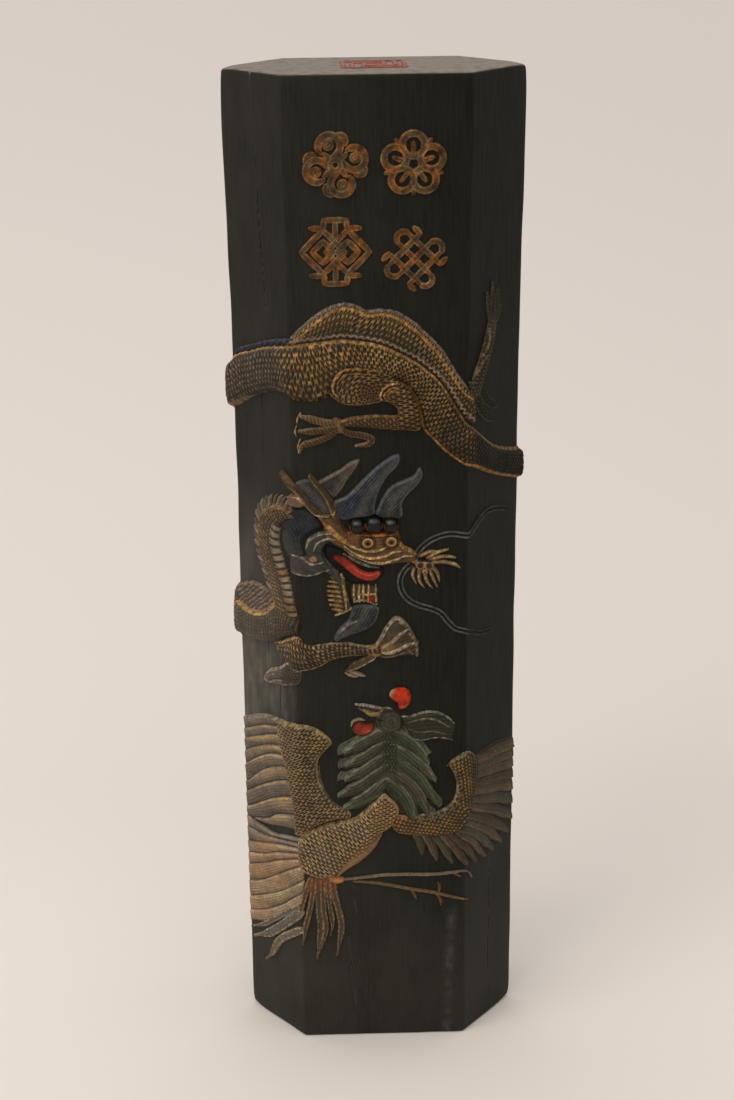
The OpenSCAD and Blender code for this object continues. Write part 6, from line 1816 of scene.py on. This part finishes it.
def phoenix_tail_strands():
    s = Sheet(-25.2, -10, 24, 54, 0.18)
    for k, path in enumerate(([(-20.8, 53), (-22.2, 49), (-23.4, 44.6), (-24.2, 40)],
                              [(-19.8, 53), (-20.4, 48), (-21.2, 43), (-22.6, 37), (-23.4, 31)],
                              [(-18.6, 53), (-18.7, 48), (-18.6, 42), (-18.2, 37), (-18.8, 31.4),
                               (-19.4, 26.2)],
                              [(-17.4, 53), (-17.4, 47), (-17.2, 42), (-16.7, 37), (-17.4, 32.6),
                               (-18.7, 28.2)],
                              [(-16, 53), (-15.8, 47.4), (-15.2, 42), (-14.8, 37.6), (-15.4, 34)],
                              [(-14.6, 52.8), (-14, 47), (-12.9, 42), (-12.2, 37), (-12.8, 32),
                               (-13.6, 27.2)])):
        ribbon(s, path, (0.9, 0.9, 1.0, 0.85, 0.8, 1.0)[k], 0.6, lin(92, 76, 54),
               (lin(160, 124, 84), lin(146, 120, 88)) if k % 2 else (lin(136, 122, 98), lin(150, 118, 80)),
               0.55)
    s.tint(lin(186, 112, 76), smooth((s.Z - 45) / 8) * 0.45 * (s.h > 0), s.cover)
    build(s, "phoenix_strands_relief", "tan_pigment", ["phoenix_tail_strands"])


def phoenix_legs():
    s = Sheet(-13, 28, 41.6, 56, 0.18)
    upper = [(-12.4, 52.3), (-9, 52.4), (-3.5, 52.9), (0.7, 53.3), (6.9, 53.3), (13.9, 53.1), (20.1, 53.6),
             (23.4, 54),
             (25.6, 52.6), (27, 50.4)]
    lower = [(-8.4, 51.6), (-2.1, 50.8), (3.5, 49.6), (9, 48.3), (14.6, 47.2), (20.1, 45.6), (23.4, 44.8),
             (25.2, 44)]
    stroke(s, upper, 0.42, 0.8, lin(136, 118, 96), 0.72, (0.8, 0.3))
    stroke(s, lower, 0.42, 0.8, lin(126, 98, 68), 0.72, (0.8, 0.3))
    for a in ([(8.2, 48.2), (9, 46.8), (9.6, 45.2)], [(15.6, 46.6), (16.6, 45), (16.8, 43)],
              [(20.4, 53.4), (22.6, 52.2)],
              [(16, 46.8), (16.4, 49), (15.8, 50.6)]):
        stroke(s, a, 0.42, 0.7, lin(122, 88, 56), 0.65, (0.8, 0.3))
    nodes_g = stripes(s.G, 2.6, 2)
    s.h += 0.10 * nodes_g * (s.h > 0)
    build(s, "phoenix_legs_relief", "tan_pigment", ["phoenix_legs"])


# ---------------------------------------------------------------- the gilt ornaments and the seal

def brush(s, path, rise=0.7):
    """A gilt stroke: double light edges with a worn brown hollow between."""
    p = np.array(path, float)
    p[:, 2] *= 1.3
    d, _, _, w = track(s.G, s.Z, p, 2.2)
    w = np.maximum(w, 0.05)
    x = d / w
    rim = bell(x - 0.78, 0.2)
    wear = fuzz(s.G, s.Z, 3.4, 70.0) + 0.5 * fuzz(s.G, s.Z, 1.2, 71.0)
    h = np.where(x < 1, rise * (0.85 + 0.15 * rim) * smooth((1 - x) * w / 0.28 + 0.2), -(d - w) * 1.6)
    rust = smooth(0.5 + 0.8 * fuzz(s.G, s.Z, 5.5, 72.0))
    tone = mix(mix(lin(112, 84, 56), lin(150, 94, 44), rust),
               mix(lin(160, 132, 92), lin(182, 118, 58), rust), rim)
    tone = tone * (0.86 + 0.22 * wear[..., None])
    s.lay(h, np.clip(tone, 0, 1), np.clip((0.62 + 0.22 * rim) * (0.85 + 0.3 * wear), 0, 1), where=d < w + 0.7)


def arc(cg, cz, r, a0, a1, half=0.8):
    t = np.radians(np.linspace(a0, a1, max(6, int(abs(a1 - a0) / 8))))
    w = np.full(len(t), half)
    if abs(a1 - a0) < 359:
        w = w * np.clip(np.minimum(np.linspace(0, 1, len(t)), np.linspace(1, 0, len(t))) / 0.2 + 0.55, 0, 1)
    return np.column_stack([cg + r * np.cos(t), cz + r * np.sin(t), w])


def spun(path, cg, cz, degrees):
    a = math.radians(degrees)
    out = np.array(path, float)
    g, z = out[:, 0].copy(), out[:, 1].copy()
    out[:, 0] = cg + g * math.cos(a) - z * math.sin(a)
    out[:, 1] = cz + g * math.sin(a) + z * math.cos(a)
    return out


def bar(a, b, half=0.75):
    t = np.linspace(0, 1, 6)[:, None]
    p = np.array(a) * (1 - t) + np.array(b) * t
    return np.column_stack([p, half * np.array([0.7, 0.95, 1, 1, 0.95, 0.7])])


def ornaments():
    r = 4.25
    s = Sheet(-20.6, -0.8, 247.4, 267.2, 0.16)
    c = (-10.7, 257.2)
    brush(s, spun(arc(0, 0, r * 0.32, 0, 360, 0.6), *c, 0))
    for k in range(4):
        for path in (arc(r * 1.12, r * 0.36, r * 0.66, -170, 130),
                     arc(r * 1.2, r * 0.42, r * 0.2, 0, 360, 0.55),
                     spun(bar((r * 0.32, 0), (r * 0.95, 0), 0.6), 0, 0, 45),
                     arc(r * 0.3, r * 1.45, r * 0.34, -60, 150, 0.6)):
            brush(s, spun(path, *c, 90 * k))
    build(s, "cloud_ornament_relief", "gilt_paint", ["cloud_ornament"])

    s = Sheet(-0.8, 19.4, 247.4, 267.2, 0.16)
    c = (9.3, 257.2)
    brush(s, spun(arc(0, 0, r * 0.45, 0, 360, 0.6), *c, 0))
    for k in range(5):
        turn = 90 + 72 * k
        for path in (arc(r * 1.15, 0, r * 0.68, 0, 360, 0.75), bar((r * 0.45, 0), (r * 1.25, 0), 0.55),
                     spun(bar((r * 0.45, 0), (r * 1.75, 0), 0.6), 0, 0, 36)):
            brush(s, spun(path, *c, turn))
    build(s, "blossom_ornament_relief", "gilt_paint", ["blossom_ornament"])

    s = Sheet(-20.4, -1.6, 224.6, 245, 0.16)
    c = (-11, 234.8)
    for side in (-1, 1):
        for k in (1, 0.5):
            q = r * 1.9 * k / math.sqrt(2)
            corners = [(side * r * 0.75 + q, 0), (side * r * 0.75, q), (side * r * 0.75 - q, 0),
                       (side * r * 0.75, -q)]
            for i in range(4):
                brush(s, spun(bar(corners[i], corners[(i + 1) % 4], 0.7), *c, 0))
        pts = [(-r * 1.5, side * r * 1.45), (-r * 0.7, side * r * 1.45), (-r * 0.7, side * r * 1.95),
               (r * 0.7, side * r * 1.95), (r * 0.7, side * r * 1.45), (r * 1.5, side * r * 1.45)]
        for i in range(5):
            brush(s, spun(bar(pts[i], pts[i + 1], 0.65), *c, 0))
        brush(s, spun(bar((0, side * r * 0.7), (0, side * r * 1.95), 0.65), *c, 0))
    build(s, "lozenge_ornament_relief", "gilt_paint", ["lozenge_ornament"])

    s = Sheet(-0.4, 19.4, 222.8, 242.8, 0.16)
    c = (9.5, 232.7)
    for k in (-1, 0, 1):
        brush(s, spun(bar((k * r * 0.85, -r * 1.35), (k * r * 0.85, r * 1.35), 0.68), *c, 45))
        brush(s, spun(bar((-r * 1.35, k * r * 0.85), (r * 1.35, k * r * 0.85), 0.68), *c, 45))
    for k in range(4):
        for path in (arc(r * 0.43, r * 1.35, r * 0.43, 0, 180, 0.66),
                     bar((-r * 0.85, r * 1.35), (-r * 1.35, r * 1.35), 0.66)):
            brush(s, spun(path, *c, 45 + 90 * k))
    build(s, "knot_ornament_relief", "gilt_paint", ["knot_ornament"])


def top_seal():
    s = Sheet(-9.2, 9.2, -9.2, 9.2, 0.16)
    half = 8.5
    pitch = 17 / 6
    paths = []
    for k in range(4):
        paths += [spun(bar((-half + 0.5, -half + 0.5), (half - 0.5, -half + 0.5), 0.6), 0, 0, 90 * k)]
        pts = [(-half, pitch * 2), (pitch, pitch * 2), (pitch, pitch * 0.9), (-pitch, pitch * 0.9)]
        for i in range(3):
            paths.append(spun(bar(pts[i], pts[i + 1], 0.65), 0, 0, 90 * k))
    for p in paths:
        d, _, _, w = track(s.G, s.Z, p, 1.6)
        w = np.maximum(w, 0.05)
        s.lay(np.where(d < w, 0.28 * smooth((w - d) / 0.2 + 0.2), -(d - w) * 1.2), lin(158, 62, 50), 0.66,
              where=d < w + 0.6)
    build(s, "top_seal_relief", "red_pigment", ["top_seal"], on_top)


def main():
    make_camera()
    make_stage()
    make_materials()
    make_block()
    for piece in (dragon_trunk, dragon_back_coil, dragon_back_spines, dragon_rear_body, dragon_tail,
                  dragon_haunch,
                  dragon_hind_claw, dragon_side_leg, dragon_neck, dragon_lower_coil, dragon_foreleg,
                  dragon_fore_claw, dragon_head, dragon_horns, dragon_brow_beads, dragon_eyes, dragon_tongue,
                  dragon_teeth, dragon_jaw_frill, dragon_mane, dragon_beard, dragon_whiskers,
                  dragon_nose_tuft,
                  phoenix_comb, phoenix_wattle, phoenix_head, phoenix_crest, phoenix_hackle, phoenix_body,
                  phoenix_left_wing, phoenix_right_wing, phoenix_tail_plumes, phoenix_tail_strands,
                  phoenix_legs, ornaments, top_seal):
        piece()


main()
